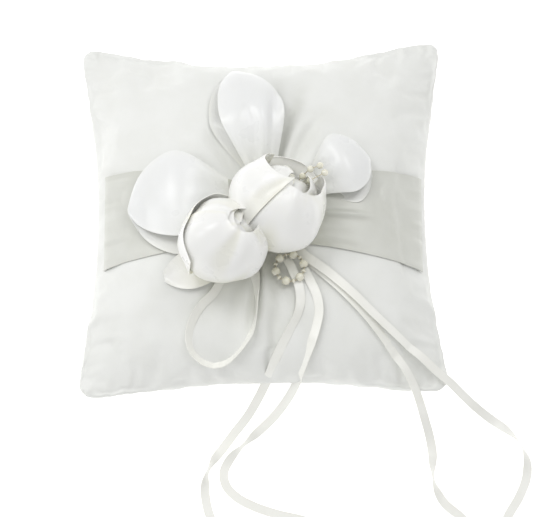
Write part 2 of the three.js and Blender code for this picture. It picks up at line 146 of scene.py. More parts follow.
def spline(points: Array, count: int) -> Array:
    """Run a centripetal Catmull-Rom curve through points and space samples evenly along it.

    Args:
        points: knots by values, with the place in the first three values.
        count: how many samples to return.

    Returns:
        Samples by values, an even distance apart.
    """
    knots = np.vstack([2 * points[0] - points[1], points, 2 * points[-1] - points[-2]])
    steps = np.sqrt(np.linalg.norm(np.diff(knots[:, :3], axis=0), axis=1))
    time = np.concatenate([[0.0], np.cumsum(np.maximum(steps, 1e-6))])
    fine = np.linspace(time[1], time[-2], 40 * len(points))
    k = np.clip(np.searchsorted(time, fine, side="right") - 1, 1, len(points) - 1)
    t0, t1, t2, t3 = (time[k + i][:, None] for i in (-1, 0, 1, 2))
    p0, p1, p2, p3 = (knots[k + i] for i in (-1, 0, 1, 2))
    t = fine[:, None]
    a1 = ((t1 - t) * p0 + (t - t0) * p1) / (t1 - t0)
    a2 = ((t2 - t) * p1 + (t - t1) * p2) / (t2 - t1)
    a3 = ((t3 - t) * p2 + (t - t2) * p3) / (t3 - t2)
    b1 = ((t2 - t) * a1 + (t - t0) * a2) / (t2 - t0)
    b2 = ((t3 - t) * a2 + (t - t1) * a3) / (t3 - t1)
    curve = ((t2 - t) * b1 + (t - t1) * b2) / (t2 - t1)
    lengths = run_length(curve[:, :3])
    even = np.linspace(0.0, lengths[-1], count)
    return np.stack([np.interp(even, lengths, curve[:, i]) for i in range(curve.shape[1])], axis=1)


def run_length(points: Array) -> Array:
    """Give how far along a line of points each one lies, from 0."""
    return np.concatenate([[0.0], np.cumsum(np.linalg.norm(np.diff(points, axis=0), axis=1))])


# ------------------------------------------------------------------ meshes


def mesh_object(name: str, vertices: Array, faces: Array, uv: Array | None = None) -> Piece:
    """Make a smooth mesh object whose faces point outwards.

    Args:
        name: the piece's name.
        vertices: count by three, in millimetres.
        faces: count by four, as rows of vertex numbers.
        uv: count by two, one place on the cloth for each vertex, in millimetres.

    Returns:
        The object, at the origin.
    """
    corners = vertices[faces]
    volume = np.einsum("ij,ij->i", corners[:, 0], np.cross(corners[:, 1], corners[:, 2])).sum()
    volume += np.einsum("ij,ij->i", corners[:, 0], np.cross(corners[:, 2], corners[:, 3])).sum()
    if volume < 0:
        faces = faces[:, ::-1]
    mesh = bpy.data.meshes.new(name)
    mesh.from_pydata((vertices * MM).tolist(), [], faces.tolist())
    mesh.validate()
    mesh.update()
    if uv is not None:
        layer = mesh.uv_layers.new(name="cloth")
        loops = np.empty(len(mesh.loops), dtype=np.int32)
        mesh.loops.foreach_get("vertex_index", loops)
        layer.data.foreach_set("uv", uv[loops].astype(np.float32).ravel())
    mesh.polygons.foreach_set("use_smooth", np.ones(len(mesh.polygons), dtype=bool))
    mesh.set_sharp_from_angle(angle=np.radians(SHARP_DEG))
    piece = bpy.data.objects.new(name, mesh)
    bpy.context.scene.collection.objects.link(piece)
    return piece


def grid_faces(rows: int, columns: int, start: int = 0) -> Array:
    """Number the quads of a grid whose vertices run row by row from start."""
    index = start + np.arange(rows * columns).reshape(rows, columns)
    corners = [index[:-1, :-1], index[1:, :-1], index[1:, 1:], index[:-1, 1:]]
    return np.stack([c.ravel() for c in corners], axis=1)


def set_attribute(piece: Piece, name: str, values: Array) -> None:
    """Store one number per vertex under a name that a material can read."""
    layer = piece.data.attributes.new(name=name, type="FLOAT", domain="POINT")
    layer.data.foreach_set("value", values.astype(np.float32).ravel())


def cloth_slab(
    name: str, points: Array, thickness: float, fold: Array | None = None, edge: float = 0.0
) -> Piece:
    """Give a grid surface an even thickness and close its four edges.

    The upper layer is the surface moved half a thickness along its normal, the lower layer half a
    thickness against it. A selvedge makes the cloth thicker along the two long sides.

    Args:
        name: the piece's name.
        points: rows by columns by three, in millimetres.
        thickness: of the cloth, in millimetres.
        fold: rows by columns, how much painted shade the cloth takes, deepest in its folds, from 0 to 1.
        edge: how much thicker the selvedge is, in millimetres.

    Returns:
        The closed piece.
    """
    rows, columns = points.shape[:2]
    normals = grid_normals(points)
    across = np.linspace(-1.0, 1.0, columns)[None, :]
    half = thickness / 2 + edge / 2 * smooth(np.abs(across), 0.86, 1.0)
    half = np.broadcast_to(half, (rows, columns))[..., None]
    vertices = np.concatenate([points + normals * half, points - normals * half]).reshape(-1, 3)
    top = grid_faces(rows, columns)
    bottom = grid_faces(rows, columns, rows * columns)[:, ::-1]
    index = np.arange(rows * columns).reshape(rows, columns)
    rim = np.concatenate([index[0, :], index[1:, -1], index[-1, -2::-1], index[-2:0:-1, 0]])
    ahead = np.roll(rim, -1)
    lower = rows * columns
    walls = np.stack([rim, ahead, ahead + lower, rim + lower], axis=1)
    places = np.meshgrid(run_length(points[:, columns // 2]), run_length(points[rows // 2]), indexing="ij")
    uv = np.stack(places, axis=-1).reshape(-1, 2)
    piece = mesh_object(name, vertices, np.concatenate([top, bottom, walls]), np.concatenate([uv, uv]))
    # painted shade: stored per vertex as the fold attribute, which the material mixes towards its shade colour
    depth = np.zeros((rows, columns)) if fold is None else fold
    set_attribute(piece, "fold", np.concatenate([depth.ravel(), depth.ravel()]))
    border = np.broadcast_to(smooth(np.abs(across), 0.84, 0.97), (rows, columns)).ravel()
    set_attribute(piece, "selvedge", np.concatenate([border, border]) * (edge > 0))
    return piece


# ------------------------------------------------------------------ finishes


def add_node(
    tree: Tree, kind: str, settings: dict | None = None, links: dict | None = None
) -> Node:
    """Add one shader node.

    Args:
        tree: the material's node tree.
        kind: the node's type name.
        settings: attribute names, or input names or numbers, to their values.
        links: input names or numbers to the output sockets that feed them.

    Returns:
        The node.
    """
    node = tree.nodes.new(kind)
    for key, value in (settings or {}).items():
        if isinstance(key, str) and hasattr(node, key):
            setattr(node, key, value)
        else:
            node.inputs[key].default_value = value
    for key, socket in (links or {}).items():
        tree.links.new(socket, node.inputs[key])
    return node


def noise(tree: Tree, place: Socket, size: float, detail: float) -> Socket:
    """Add a cloudy noise.

    Args:
        tree: the material's tree.
        place: the coordinates that it follows.
        size: of its clouds, in millimetres.
        detail: how many finer layers it has.

    Returns:
        Its value.
    """
    settings = {"Scale": 1.0 / (size * MM), "Detail": detail}
    return add_node(tree, "ShaderNodeTexNoise", settings, {"Vector": place}).outputs["Fac"]


def tinted(tree: Tree, face: str, shade: str, share: Socket) -> Socket:
    """Mix a face colour with a shade.

    Args:
        tree: the material's tree.
        face: hex colour where the share is 0.
        shade: hex colour where it is 1.
        share: of the shade.

    Returns:
        The colour.
    """
    colours = {"data_type": "RGBA", 6: linear(face), 7: linear(shade)}
    return add_node(tree, "ShaderNodeMix", colours, {0: share}).outputs[2]


def ranged(tree: Tree, value: Socket, settings: dict) -> Socket:
    """Map a value from one range to another and give the result."""
    return add_node(tree, "ShaderNodeMapRange", settings, {"Value": value}).outputs[0]


def bumped(
    tree: Tree, height: Socket, strength: float, rise: float, under: dict | None = None
) -> Socket:
    """Turn a height into a bump.

    Args:
        tree: the material's tree.
        height: the height, from 0 to 1.
        strength: of the bump.
        rise: what a height of 1 stands for, in millimetres.
        under: a coarser bump that this one rides on, as the node's normal input.

    Returns:
        The normal.
    """
    settings = {"Strength": strength, "Distance": rise * MM}
    return add_node(tree, "ShaderNodeBump", settings, {"Height": height, **(under or {})}).outputs[0]


def finish(tree: Tree, shader: Node, links: dict, values: dict) -> None:
    """Feed a shader's inputs.

    Args:
        tree: the material's tree.
        shader: the Principled shader.
        links: input names to the sockets that feed them.
        values: input names to values that are the same all over.
    """
    for name, socket in links.items():
        tree.links.new(socket, shader.inputs[name])
    for name, value in values.items():
        shader.inputs[name].default_value = value


def new_material(name: str) -> tuple[Material, Tree, Node, Socket]:
    """Start a node material.

    Args:
        name: what the real material is and how it was made.

    Returns:
        The material, its tree, its Principled shader and the piece's own coordinates.
    """
    material = bpy.data.materials.new(name)
    material.use_nodes = True
    tree = material.node_tree
    place = add_node(tree, "ShaderNodeTexCoord").outputs["Object"]
    return material, tree, tree.nodes["Principled BSDF"], place


class Weave(Enum):
    """How the threads of a cloth show."""

    SATIN = "long floats that lie side by side"
    PLAIN = "threads that cross one over one"


@dataclass(frozen=True)
class Cloth:
    """Woven polyester: its face colour, a shade colour for the painted shade in its folds, and its lustre."""

    name: str
    face: str
    shade: str
    roughness: float
    sheen: float
    weave: Weave
    thread: float = 0.55  # mm; real satin has about 0.15 mm, too fine to show, so it is drawn coarser
    bump: float = 0.10
    slub: float = 14.0  # mm between faint uneven places
    slub_depth: float = 0.16
    crumple: float = 12.0  # mm between the soft dents that break up the lustre
    crumple_depth: float = 0.0  # mm
    through: float = 0.0  # share of the light that passes into the thin cloth

    def build(self) -> Material:
        """Make the material: painted shade by fold depth, slubs, a selvedge tint and thread bump.

        Returns:
            The material.
        """
        material, tree, shader, place = new_material(self.name)
        # painted shade: the fold attribute gives each vertex's share of the shade colour, deepest in folds,
        # recesses and under layers
        fold = add_node(tree, "ShaderNodeAttribute", {"attribute_name": "fold"}).outputs["Fac"]
        border = add_node(tree, "ShaderNodeAttribute", {"attribute_name": "selvedge"}).outputs["Fac"]
        slub = noise(tree, place, self.slub, 3.0)
        spread = {"From Min": 0.35, "From Max": 0.65, "To Min": 0.0, "To Max": self.slub_depth}
        add = {"operation": "ADD", "use_clamp": True}
        # share of the shade colour: the painted fold shade plus the real slubs
        depth = add_node(tree, "ShaderNodeMath", add, {0: fold, 1: ranged(tree, slub, spread)})
        tint = tinted(tree, self.face, self.shade, depth.outputs[0])
        # the long edges are tinted a tenth of the way to the shade colour, so they show as darker lines
        selvedge = add_node(tree, "ShaderNodeMath", {"operation": "MULTIPLY", 1: 0.1}, {0: border})
        edged = add_node(
            tree,
            "ShaderNodeMix",
            {"data_type": "RGBA", 7: linear(self.shade)},
            {0: selvedge.outputs[0], 6: tint},
        )
        gloss = ranged(tree, slub, {"To Min": self.roughness - 0.05, "To Max": self.roughness + 0.08})
        finish(
            tree,
            shader,
            {"Base Color": edged.outputs[2], "Roughness": gloss, "Normal": self.weave_normal(tree, place)},
            {
                "Sheen Weight": self.sheen,
                "Sheen Roughness": 0.4,
                "Subsurface Weight": self.through,
                "Subsurface Radius": (1.0, 0.97, 0.86),
                "Subsurface Scale": 3.0 * MM,
            },
        )
        return material

    def weave_normal(self, tree: Tree, place: Socket) -> Socket:
        """Raise the threads as bump: one set for satin, two crossed sets for a plain weave.

        Args:
            tree: the material's tree.
            place: the coordinates that the threads follow.

        Returns:
            The normal.
        """
        frequency = 1.0 / (self.thread * MM) / 3.2  # a wave texture has about 3.2 bands per unit
        threads = []
        for direction in "XY" if self.weave is Weave.PLAIN else "X":
            settings = {"bands_direction": direction, "Scale": frequency, "Distortion": 0.6, "Detail": 1.0}
            threads.append(add_node(tree, "ShaderNodeTexWave", settings, {"Vector": place}).outputs["Fac"])
        height = threads[0]
        if self.weave is Weave.PLAIN:
            both = dict(enumerate(threads))
            height = add_node(tree, "ShaderNodeMath", {"operation": "MAXIMUM"}, both).outputs[0]
        under = {}
        if self.crumple_depth > 0:
            under = {"Normal": bumped(tree, noise(tree, place, self.crumple, 1.0), 1.0, self.crumple_depth)}
        return bumped(tree, height, self.bump, 0.08, under)


@dataclass(frozen=True)
class Pearl:
    """Moulded plastic with a pearl lacquer: a milky body, a warm glow and a clear hard coat."""

    name: str = "faux pearl, lacquered moulded plastic"
    face: str = "#F4F3EA"
    glow: str = "#DAD6BC"

    def build(self) -> Material:
        """Make the material: a faint warm cloud in the lacquer under a clear coat.

        Returns:
            The material.
        """
        material, tree, shader, place = new_material(self.name)
        cloud = noise(tree, place, 2.0, 2.0)
        colour = tinted(tree, self.face, self.glow, cloud)
        finish(
            tree,
            shader,
            {"Base Color": colour, "Normal": bumped(tree, cloud, 0.05, 0.05)},
            {
                "Roughness": 0.24,
                "Coat Weight": 1.0,
                "Coat Roughness": 0.08,
                "Subsurface Weight": 0.2,
                "Subsurface Radius": (1.0, 0.95, 0.8),
                "Subsurface Scale": 1.0 * MM,
            },
        )
        return material


@dataclass(frozen=True)
class Fibre:
    """Matted fibre, such as pressed felt or loose filling: no gloss and a soft uneven surface."""

    name: str
    face: str
    shade: str
    hair: float = 0.9  # mm between tufts

    def build(self) -> Material:
        """Make the material from a fine noise in colour and bump.

        Returns:
            The material.
        """
        material, tree, shader, place = new_material(self.name)
        hair = noise(tree, place, self.hair, 6.0)
        colour = tinted(tree, self.face, self.shade, hair)
        nap = bumped(tree, hair, 0.5, 0.2)
        finish(tree, shader, {"Base Color": colour, "Normal": nap}, {"Roughness": 0.95})
        return material


@dataclass(frozen=True)
class Wire:
    """Drawn craft wire: bright pale metal with fine marks from the die."""

    name: str = "drawn steel craft wire"
    face: str = "#CFC6AE"

    def build(self) -> Material:
        """Make the material: metal whose roughness varies a little along its length.

        Returns:
            The material.
        """
        material, tree, shader, place = new_material(self.name)
        gloss = ranged(tree, noise(tree, place, 0.4, 3.0), {"To Min": 0.22, "To Max": 0.42})
        finish(tree, shader, {"Roughness": gloss}, {"Base Color": linear(self.face), "Metallic": 1.0})
        return material


# The second colour of each cloth is its shade colour: the painted shade in folds, the slubs and the selvedge
# tint mix towards it.
COVER = Cloth(
    "matt polyester satin, woven",
    "#E8E9E6",
    "#D2D3CB",
    0.46,
    0.25,
    Weave.PLAIN,
    thread=0.6,
    crumple=24,
    crumple_depth=1.6,
)
SASH = Cloth(
    "bright polyester satin band, woven",
    "#D6D7D1",
    "#B9BAAC",
    0.34,
    0.15,
    Weave.SATIN,
    crumple=20,
    crumple_depth=1.0,
)
PETAL = Cloth(
    "ivory satin, heat-shaped petals",
    "#FAFAF7",
    "#DEDCBC",
    0.27,
    0.1,
    Weave.SATIN,
    bump=0.04,
    slub_depth=0.05,
    through=0.25,
)
LOOP = Cloth(
    "ivory satin ribbon, woven edges",
    "#EEEFEE",
    "#DEDED0",
    0.28,
    0.1,
    Weave.SATIN,
    bump=0.04,
    slub_depth=0.05,
    through=0.2,
)
TAIL = Cloth("narrow satin ribbon, woven edges", "#F3F3EE", "#D8D7CA", 0.34, 0.15, Weave.SATIN, thread=0.5)
THREAD = Cloth("twisted polyester thread", "#EFEBE0", "#CFC9B4", 0.55, 0.2, Weave.PLAIN, thread=0.4)
FELT = Fibre("pressed polyester felt", "#EAE6DA", "#D3CDBB")
FILLING = Fibre("loose polyester fibre", "#F7F7F5", "#E6E6E2", hair=2.5)


def dress(piece: Piece, material: Material, *, body: str = "pillow") -> None:
    """Give a new piece its material and its body.

    Args:
        piece: the piece.
        material: its finish.
        body: the body that it rides on.
    """
    piece.data.materials.clear()
    piece.data.materials.append(material)
    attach(piece, body)
    LOG.info("%s: %d faces, %s, on %s", piece.name, len(piece.data.polygons), material.name, body)


# ------------------------------------------------------------------ cushion


@dataclass
class Cushion:
    """The stuffed cover: two square panels sewn together, filled, and drawn in at the middle."""

    cells: int = 96
    pull_top: float = 14.0
    pull_bottom: float = 9.5
    pull_left: float = 11.5
    pull_right: float = 13.0
    front_rise: float = 36.0
    back_drop: float = 31.0
    roundness: float = 0.55
    tuft: tuple[float, float] = (0.0, -8.0)
    tuft_depth: float = 13.0
    tuft_spread: float = 24.0
    corner_shift: tuple = ((-6.0, -6.0), (-7.5, 6.0), (6.5, -2.0), (4.5, 10.5))  # BL, TL, BR, TR
    # Gathers that run out from the tuft: bearing, depth, width, where they start and end.
    gathers: tuple = (
        (84, 2.9, 2.8, 22, 88),
        (74, 3.0, 2.6, 24, 96),
        (97, 1.6, 3.2, 24, 74),
        (62, 1.5, 3.6, 26, 84),
        (266, 3.6, 2.6, 18, 72),
        (277, 2.4, 3.0, 20, 80),
        (254, 2.2, 3.2, 20, 70),
        (292, 1.6, 3.8, 22, 78),
        (238, 1.4, 3.8, 24, 74),
        (118, 1.3, 3.8, 24, 72),
        (312, 1.2, 4.4, 26, 74),
    )
    swell_frames: int = 20
    cloth_settings: dict = field(
        default_factory=lambda: {
            "quality": 6,
            "mass": 0.15,
            "tension_stiffness": 12,
            "compression_stiffness": 12,
            "shear_stiffness": 6,
            "bending_stiffness": 0.06,
            "shrink_min": -0.03,
            "use_pressure": True,
            "uniform_pressure_force": 4.0,
        }
    )
    front: Array = field(default_factory=lambda: np.zeros((0, 0, 3)))

    def __post_init__(self) -> None:
        """Read the cushion's reach and seam height from the frame."""
        low, high = box_mm("cover_front", "cover_back")
        self.half = (high[:2] - low[:2]) / 2
        self.seam = (box_mm("cover_front")[0][2] + box_mm("cover_back")[1][2]) / 2

    def outline(self, u: Array, v: Array) -> tuple[Array, Array]:
        """Place a point of the flat panel in plan.

        Each side is drawn in by its pull at its middle, by one less the power 2.3 of the distance along
        it. The corners are blunted a little, and each is moved by its own shift.

        Args:
            u: from -1 at the left to 1 at the right.
            v: from -1 at the bottom to 1 at the top.

        Returns:
            x and y in millimetres.
        """
        side = np.where(u < 0, self.pull_left, self.pull_right)
        end = np.where(v < 0, self.pull_bottom, self.pull_top)
        blunt = 1.0 - 0.04 * np.abs(u * v) ** 5 - 0.05 * np.abs(u * v) ** 18
        x = u * (self.half[0] - side * (1 - np.abs(v) ** 2.3)) * blunt
        y = v * (self.half[1] - end * (1 - np.abs(u) ** 2.3)) * blunt
        for i, (dx, dy) in enumerate(self.corner_shift):
            weight = ((1 + u) / 2 if i > 1 else (1 - u) / 2) * ((1 + v) / 2 if i % 2 else (1 - v) / 2)
            x = x + dx * weight**2
            y = y + dy * weight**2
        return x, y

    def pucker(self, u: Array, v: Array) -> Array:
        """Ripple the cloth beside the seam, where the stitches draw it in.

        The ripple is a sum of three sines along the nearest side, and dies away from the seam as
        the distance to it squared in an exponential.

        Args:
            u: across the panel.
            v: up the panel.

        Returns:
            Height in millimetres, positive outwards.
        """
        edge = np.minimum(1 - np.abs(u), 1 - np.abs(v)) * self.half[0]
        along = np.where(np.abs(u) > np.abs(v), v, u) * self.half[0]
        side = np.where(np.abs(u) > np.abs(v), np.sign(u), 2.5 * np.sign(v))
        wave = np.sin(along * 0.62 + 1.3 * side) + 0.7 * np.sin(along * 1.07 + 2.1 * side + 1.0)
        wave = wave + 0.5 * np.sin(along * 0.29 + side)
        return 0.55 * wave * np.exp(-((edge / 9.0) ** 2)) * smooth(edge, 0.0, 2.0)

    def gather(self, x: Array, y: Array) -> Array:
        """Press the gathers in: each is a groove of bell section along its bearing from the tuft.

        Args:
            x: across, in millimetres.
            y: up, in millimetres.

        Returns:
            Depth in millimetres, never negative.
        """
        depth = np.zeros_like(x)
        for bearing, deep, wide, start, end in self.gathers:
            angle = np.radians(bearing)
            out = (x - self.tuft[0]) * np.cos(angle) + (y - self.tuft[1]) * np.sin(angle)
            off = -(x - self.tuft[0]) * np.sin(angle) + (y - self.tuft[1]) * np.cos(angle)
            off = off - 1.6 * np.sin(out / 17.0 + bearing)
            reach = smooth(out, 0.4 * start, start) * (1 - smooth(out, 0.55 * end, end))
            depth = depth + deep * reach * np.exp(-((off / (wide * (0.8 + out.clip(0) / 90))) ** 2))
        return depth

    def shape(self, u: Array, v: Array, front: bool) -> Array:
        """Give the filled shape: a dome over the plan outline.

        The dome is ((1 - u^2)(1 - v^2)) to the power of the roundness. The front loses the tuft,
        a bell-shaped dent, and the gathers; the back stops at the table.

        Args:
            u: across the panel.
            v: up the panel.
            front: whether this is the front panel.

        Returns:
            Points in millimetres.
        """
        x, y = self.outline(u, v)
        dome = (np.clip(1 - u * u, 0, 1) * np.clip(1 - v * v, 0, 1)) ** self.roundness
        fade = smooth(dome * 2)
        ripple = self.pucker(u, v)
        if front:
            away = (x - self.tuft[0]) ** 2 + (y - self.tuft[1]) ** 2
            dent = self.tuft_depth * np.exp(-away / (2 * self.tuft_spread**2))
            z = self.seam + self.front_rise * dome - (dent + self.gather(x, y)) * fade + ripple
        else:
            drop = self.seam - self.back_drop * dome - ripple
            z = 0.5 * (drop + np.sqrt(drop**2 + 1.5))  # a soft stop at the table
            z = np.where(dome > 0.9, np.maximum(0.0, z - 0.35), z)
        return np.stack([x, y, z], axis=-1)

    def panels(self) -> tuple[Array, Array]:
        """Lay out both panels on one grid whose lines bunch up towards the seam."""
        a = np.linspace(-1, 1, self.cells + 1)
        a = a * (1.25 - 0.25 * a * a)
        u, v = np.meshgrid(a, a, indexing="ij")
        front = self.shape(u, v, True)
        back = self.shape(u, v, False)
        self.lines = a
        return front, back

    def sewn_mesh(self, name: str, front: Array, back: Array) -> Piece:
        """Join two panels along their shared edge into one closed mesh.

        Args:
            name: the piece's name.
            front: the front grid.
            back: the back grid, whose border is left out.

        Returns:
            The closed piece. Its first vertices are the front grid's.
        """
        size = self.cells + 1
        inner = back[1:-1, 1:-1].reshape(-1, 3)
        index = np.arange(size * size).reshape(size, size)
        below = index.copy()
        below[1:-1, 1:-1] = size * size + np.arange(len(inner)).reshape(size - 2, size - 2)
        corners = [below[:-1, :-1], below[:-1, 1:], below[1:, 1:], below[1:, :-1]]
        under = np.stack([c.ravel() for c in corners], axis=1)
        vertices = np.concatenate([front.reshape(-1, 3), inner])
        return mesh_object(name, vertices, np.concatenate([grid_faces(size, size), under]))

    def inflate(self, piece: Piece, cap: float = 2.6) -> None:
        """Let the filling press the cloth out by a short simulation, and keep how far it moved.

        The tuft and the table patch are pinned. The cloth is three per cent larger than its shape,
        so that it buckles into soft wrinkles. No point moves farther than the cap.

        Args:
            piece: the sewn cover.
            cap: the farthest move, in millimetres.
        """
        mesh = piece.data
        count = len(mesh.vertices)
        start = np.empty(count * 3, dtype=np.float32)
        mesh.vertices.foreach_get("co", start)
        start = start.reshape(-1, 3)
        away = np.hypot(start[:, 0] / MM - self.tuft[0], start[:, 1] / MM - self.tuft[1])
        held = ((away < 14) & (start[:, 2] > self.seam * MM)) | (start[:, 2] < 0.6 * MM)
        on_seam = np.abs(start[:, 2] / MM - self.seam) < 0.02
        group = piece.vertex_groups.new(name="held")
        group.add(np.flatnonzero(held | on_seam).tolist(), 1.0, "REPLACE")
        cloth = piece.modifiers.new("filling pressure", "CLOTH")
        for setting, value in self.cloth_settings.items():
            setattr(cloth.settings, setting, value)
        cloth.settings.vertex_group_mass = "held"
        cloth.settings.effector_weights.gravity = 0.0
        cloth.collision_settings.use_collision = False
        cloth.point_cache.frame_start = 1
        cloth.point_cache.frame_end = self.swell_frames
        scene = bpy.context.scene
        for frame_number in range(1, self.swell_frames + 1):
            scene.frame_set(frame_number)
        swollen = piece.evaluated_get(bpy.context.evaluated_depsgraph_get()).to_mesh()
        end = np.empty(count * 3, dtype=np.float32)
        swollen.vertices.foreach_get("co", end)
        piece.evaluated_get(bpy.context.evaluated_depsgraph_get()).to_mesh_clear()
        piece.modifiers.clear()
        piece.vertex_groups.clear()
        move = end.reshape(-1, 3) - start
        size = np.linalg.norm(move, axis=1, keepdims=True)
        move = move * np.minimum(1.0, cap * MM / np.maximum(size, 1e-9))
        final = start + np.nan_to_num(move)
        final[:, 2] = np.maximum(final[:, 2], 0.0)
        mesh.vertices.foreach_set("co", final.astype(np.float32).ravel())
        mesh.update()
        scene.frame_set(1)
        LOG.info("cover pressed out by %.2f mm on average", float(size.mean()) / MM)

    def build(self, satin: Material, fibre: Material) -> None:
        """Make the cover and the filling.

        Args:
            satin: the cover's finish.
            fibre: the filling's finish.
        """
        front, back = self.panels()
        cover = self.sewn_mesh("cushion_cover", front, back)
        self.inflate(cover)
        size = self.cells + 1
        places = np.empty(len(cover.data.vertices) * 3, dtype=np.float32)
        cover.data.vertices.foreach_get("co", places)
        places = places.reshape(-1, 3) / MM
        self.front = places[: size * size].reshape(size, size, 3)
        # painted shade in the gathers: the cover takes the shade colour as deep as each gather is pressed in
        depth = self.gather(places[:, 0], places[:, 1]) * (places[:, 2] > self.seam)
        set_attribute(cover, "fold", np.clip(depth / 5.0, 0, 0.6))
        set_attribute(cover, "selvedge", np.zeros(len(cover.data.vertices)))
        finer = cover.modifiers.new("fine cloth", "SUBSURF")
        finer.levels = 1
        finer.render_levels = 1
        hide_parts("cover_front", "cover_back")
        dress(cover, satin)
        middle = np.array([0.0, 0.0, self.seam * 0.8])
        shrink = np.array([0.94, 0.94, 0.82])
        inner = [(panel - middle) * shrink + middle for panel in (front, back)]
        filling = self.sewn_mesh("fibre_filling", *inner)
        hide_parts("stuffing")
        dress(filling, fibre)

    def on_front(self, x: Array, y: Array) -> tuple[Array, Array]:
        """Find the front of the cushion under plan points.

        The outline is solved for the panel's own coordinates by turns, and the grid of the made
        cover is then read between its four nearest points.

        Args:
            x: across, in millimetres.
            y: up, in millimetres.

        Returns:
            Points and unit normals.
        """
        x = np.asarray(x, dtype=float)
        y = np.asarray(y, dtype=float)
        u = np.clip(x / self.half[0], -1, 1)
        v = np.clip(y / self.half[1], -1, 1)
        for _ in range(40):
            got_x, got_y = self.outline(u, v)
            u = np.clip(u + 0.9 * (x - got_x) / self.half[0], -1, 1)
            v = np.clip(v + 0.9 * (y - got_y) / self.half[1], -1, 1)
        row = np.interp(u, self.lines, np.arange(self.cells + 1))
        column = np.interp(v, self.lines, np.arange(self.cells + 1))
        i = np.minimum(row.astype(int), self.cells - 1)
        j = np.minimum(column.astype(int), self.cells - 1)
        a = (row - i)[..., None]
        b = (column - j)[..., None]

        def between(grid: Array) -> Array:
            """Blend the four corners of each point's cell."""
            near = grid[i, j] * (1 - b) + grid[i, j + 1] * b
            far = grid[i + 1, j] * (1 - b) + grid[i + 1, j + 1] * b
            return near * (1 - a) + far * a

        point = between(self.front)
        point[..., 0] = x
        point[..., 1] = y
        return point, unit(between(grid_normals(self.front)))


# ------------------------------------------------------------------ sash


@dataclass
class Sash:
    """The satin band across the front, sewn into both side seams and pinched in at the middle."""

    y: float = -3.0
    middle_half: float = 9.5
    end_half: float = 27.0
    lift: float = 0.9
    thickness: float = 0.4
    # Each pleat: where it lies across the band from -1 to 1, how wide it is, and its share of the depth.
    pleats: tuple = (
        (-0.82, 0.13, 0.7),
        (-0.45, 0.2, 1.0),
        (0.05, 0.15, 0.8),
        (0.36, 0.22, 1.1),
        (0.78, 0.12, 0.6),
    )
    pleat_depth: float = 1.8
    crease_at: tuple[float, float] = (44.0, -0.10)  # a stray fold: along in mm, across from -1 to 1
    crease_depth: float = 2.2

    def build(self, cushion: Cushion, satin: Material) -> None:
        """Lay the band over the cushion.

        Across the band the cloth is even; towards the middle it narrows with the square root of
        the distance and rises into pleats, which are bell-shaped ridges that run along the band.

        Args:
            cushion: what it lies on.
            satin: its finish.
        """
        reach = self.reach(cushion)
        s = np.linspace(-1, 1, 181)
        t = np.linspace(-1, 1, 73)
        along, across = np.meshgrid(s, t, indexing="ij")
        x = along * reach
        share = np.sqrt(np.abs(along) + 0.004)
        half = self.middle_half + (self.end_half - self.middle_half) * share
        fan = across + 0.05 * np.sin(3.1 * across + 2 * along)
        y = self.y + across * half - 2.5 * np.abs(along) ** 2
        point, normal = cushion.on_front(x, y)
        strength = self.pleat_depth * (1 - smooth(np.abs(x), 10, 62))
        ridge = np.zeros_like(x)
        for middle, wide, high in self.pleats:
            sway = middle + 0.04 * np.sin(x / 15.0 + 9 * middle)
            ridge = ridge + strength * high * np.exp(-(((fan - sway) / wide) ** 2))
        crease = self.crease_depth * np.exp(-(((across - self.crease_at[1]) / 0.07) ** 2))
        crease = crease * (1 - smooth(np.abs(x - self.crease_at[0]), 6, 18))
        ends = smooth(1 - np.abs(along), 0.0, 0.03)
        lift = self.lift + (ridge + 0.9 * crease * (x > 0)) * ends
        lift = lift * (0.35 + 0.65 * smooth(1 - np.abs(along), 0.0, 0.02))
        points = point + normal * lift[..., None]
        # painted shade: darker between the pleat ridges near the pinch, and towards the middle of the band
        fold = 0.3 * (1 - smooth(ridge, 0.0, 1.4)) * smooth(strength, 0.0, 1.4) + 0.2 * (1 - np.abs(along))
        fold = np.clip(fold, 0, 1)
        piece = cloth_slab("satin_sash", points, self.thickness, fold, edge=0.35)
        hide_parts("sash")
        dress(piece, satin)

    def reach(self, cushion: Cushion) -> float:
        """Give how far the band reaches to each side, just short of the side seam."""
        side = cushion.half[0] - max(cushion.pull_left, cushion.pull_right)
        return float(side * 0.992)


# ------------------------------------------------------------------ bow loops


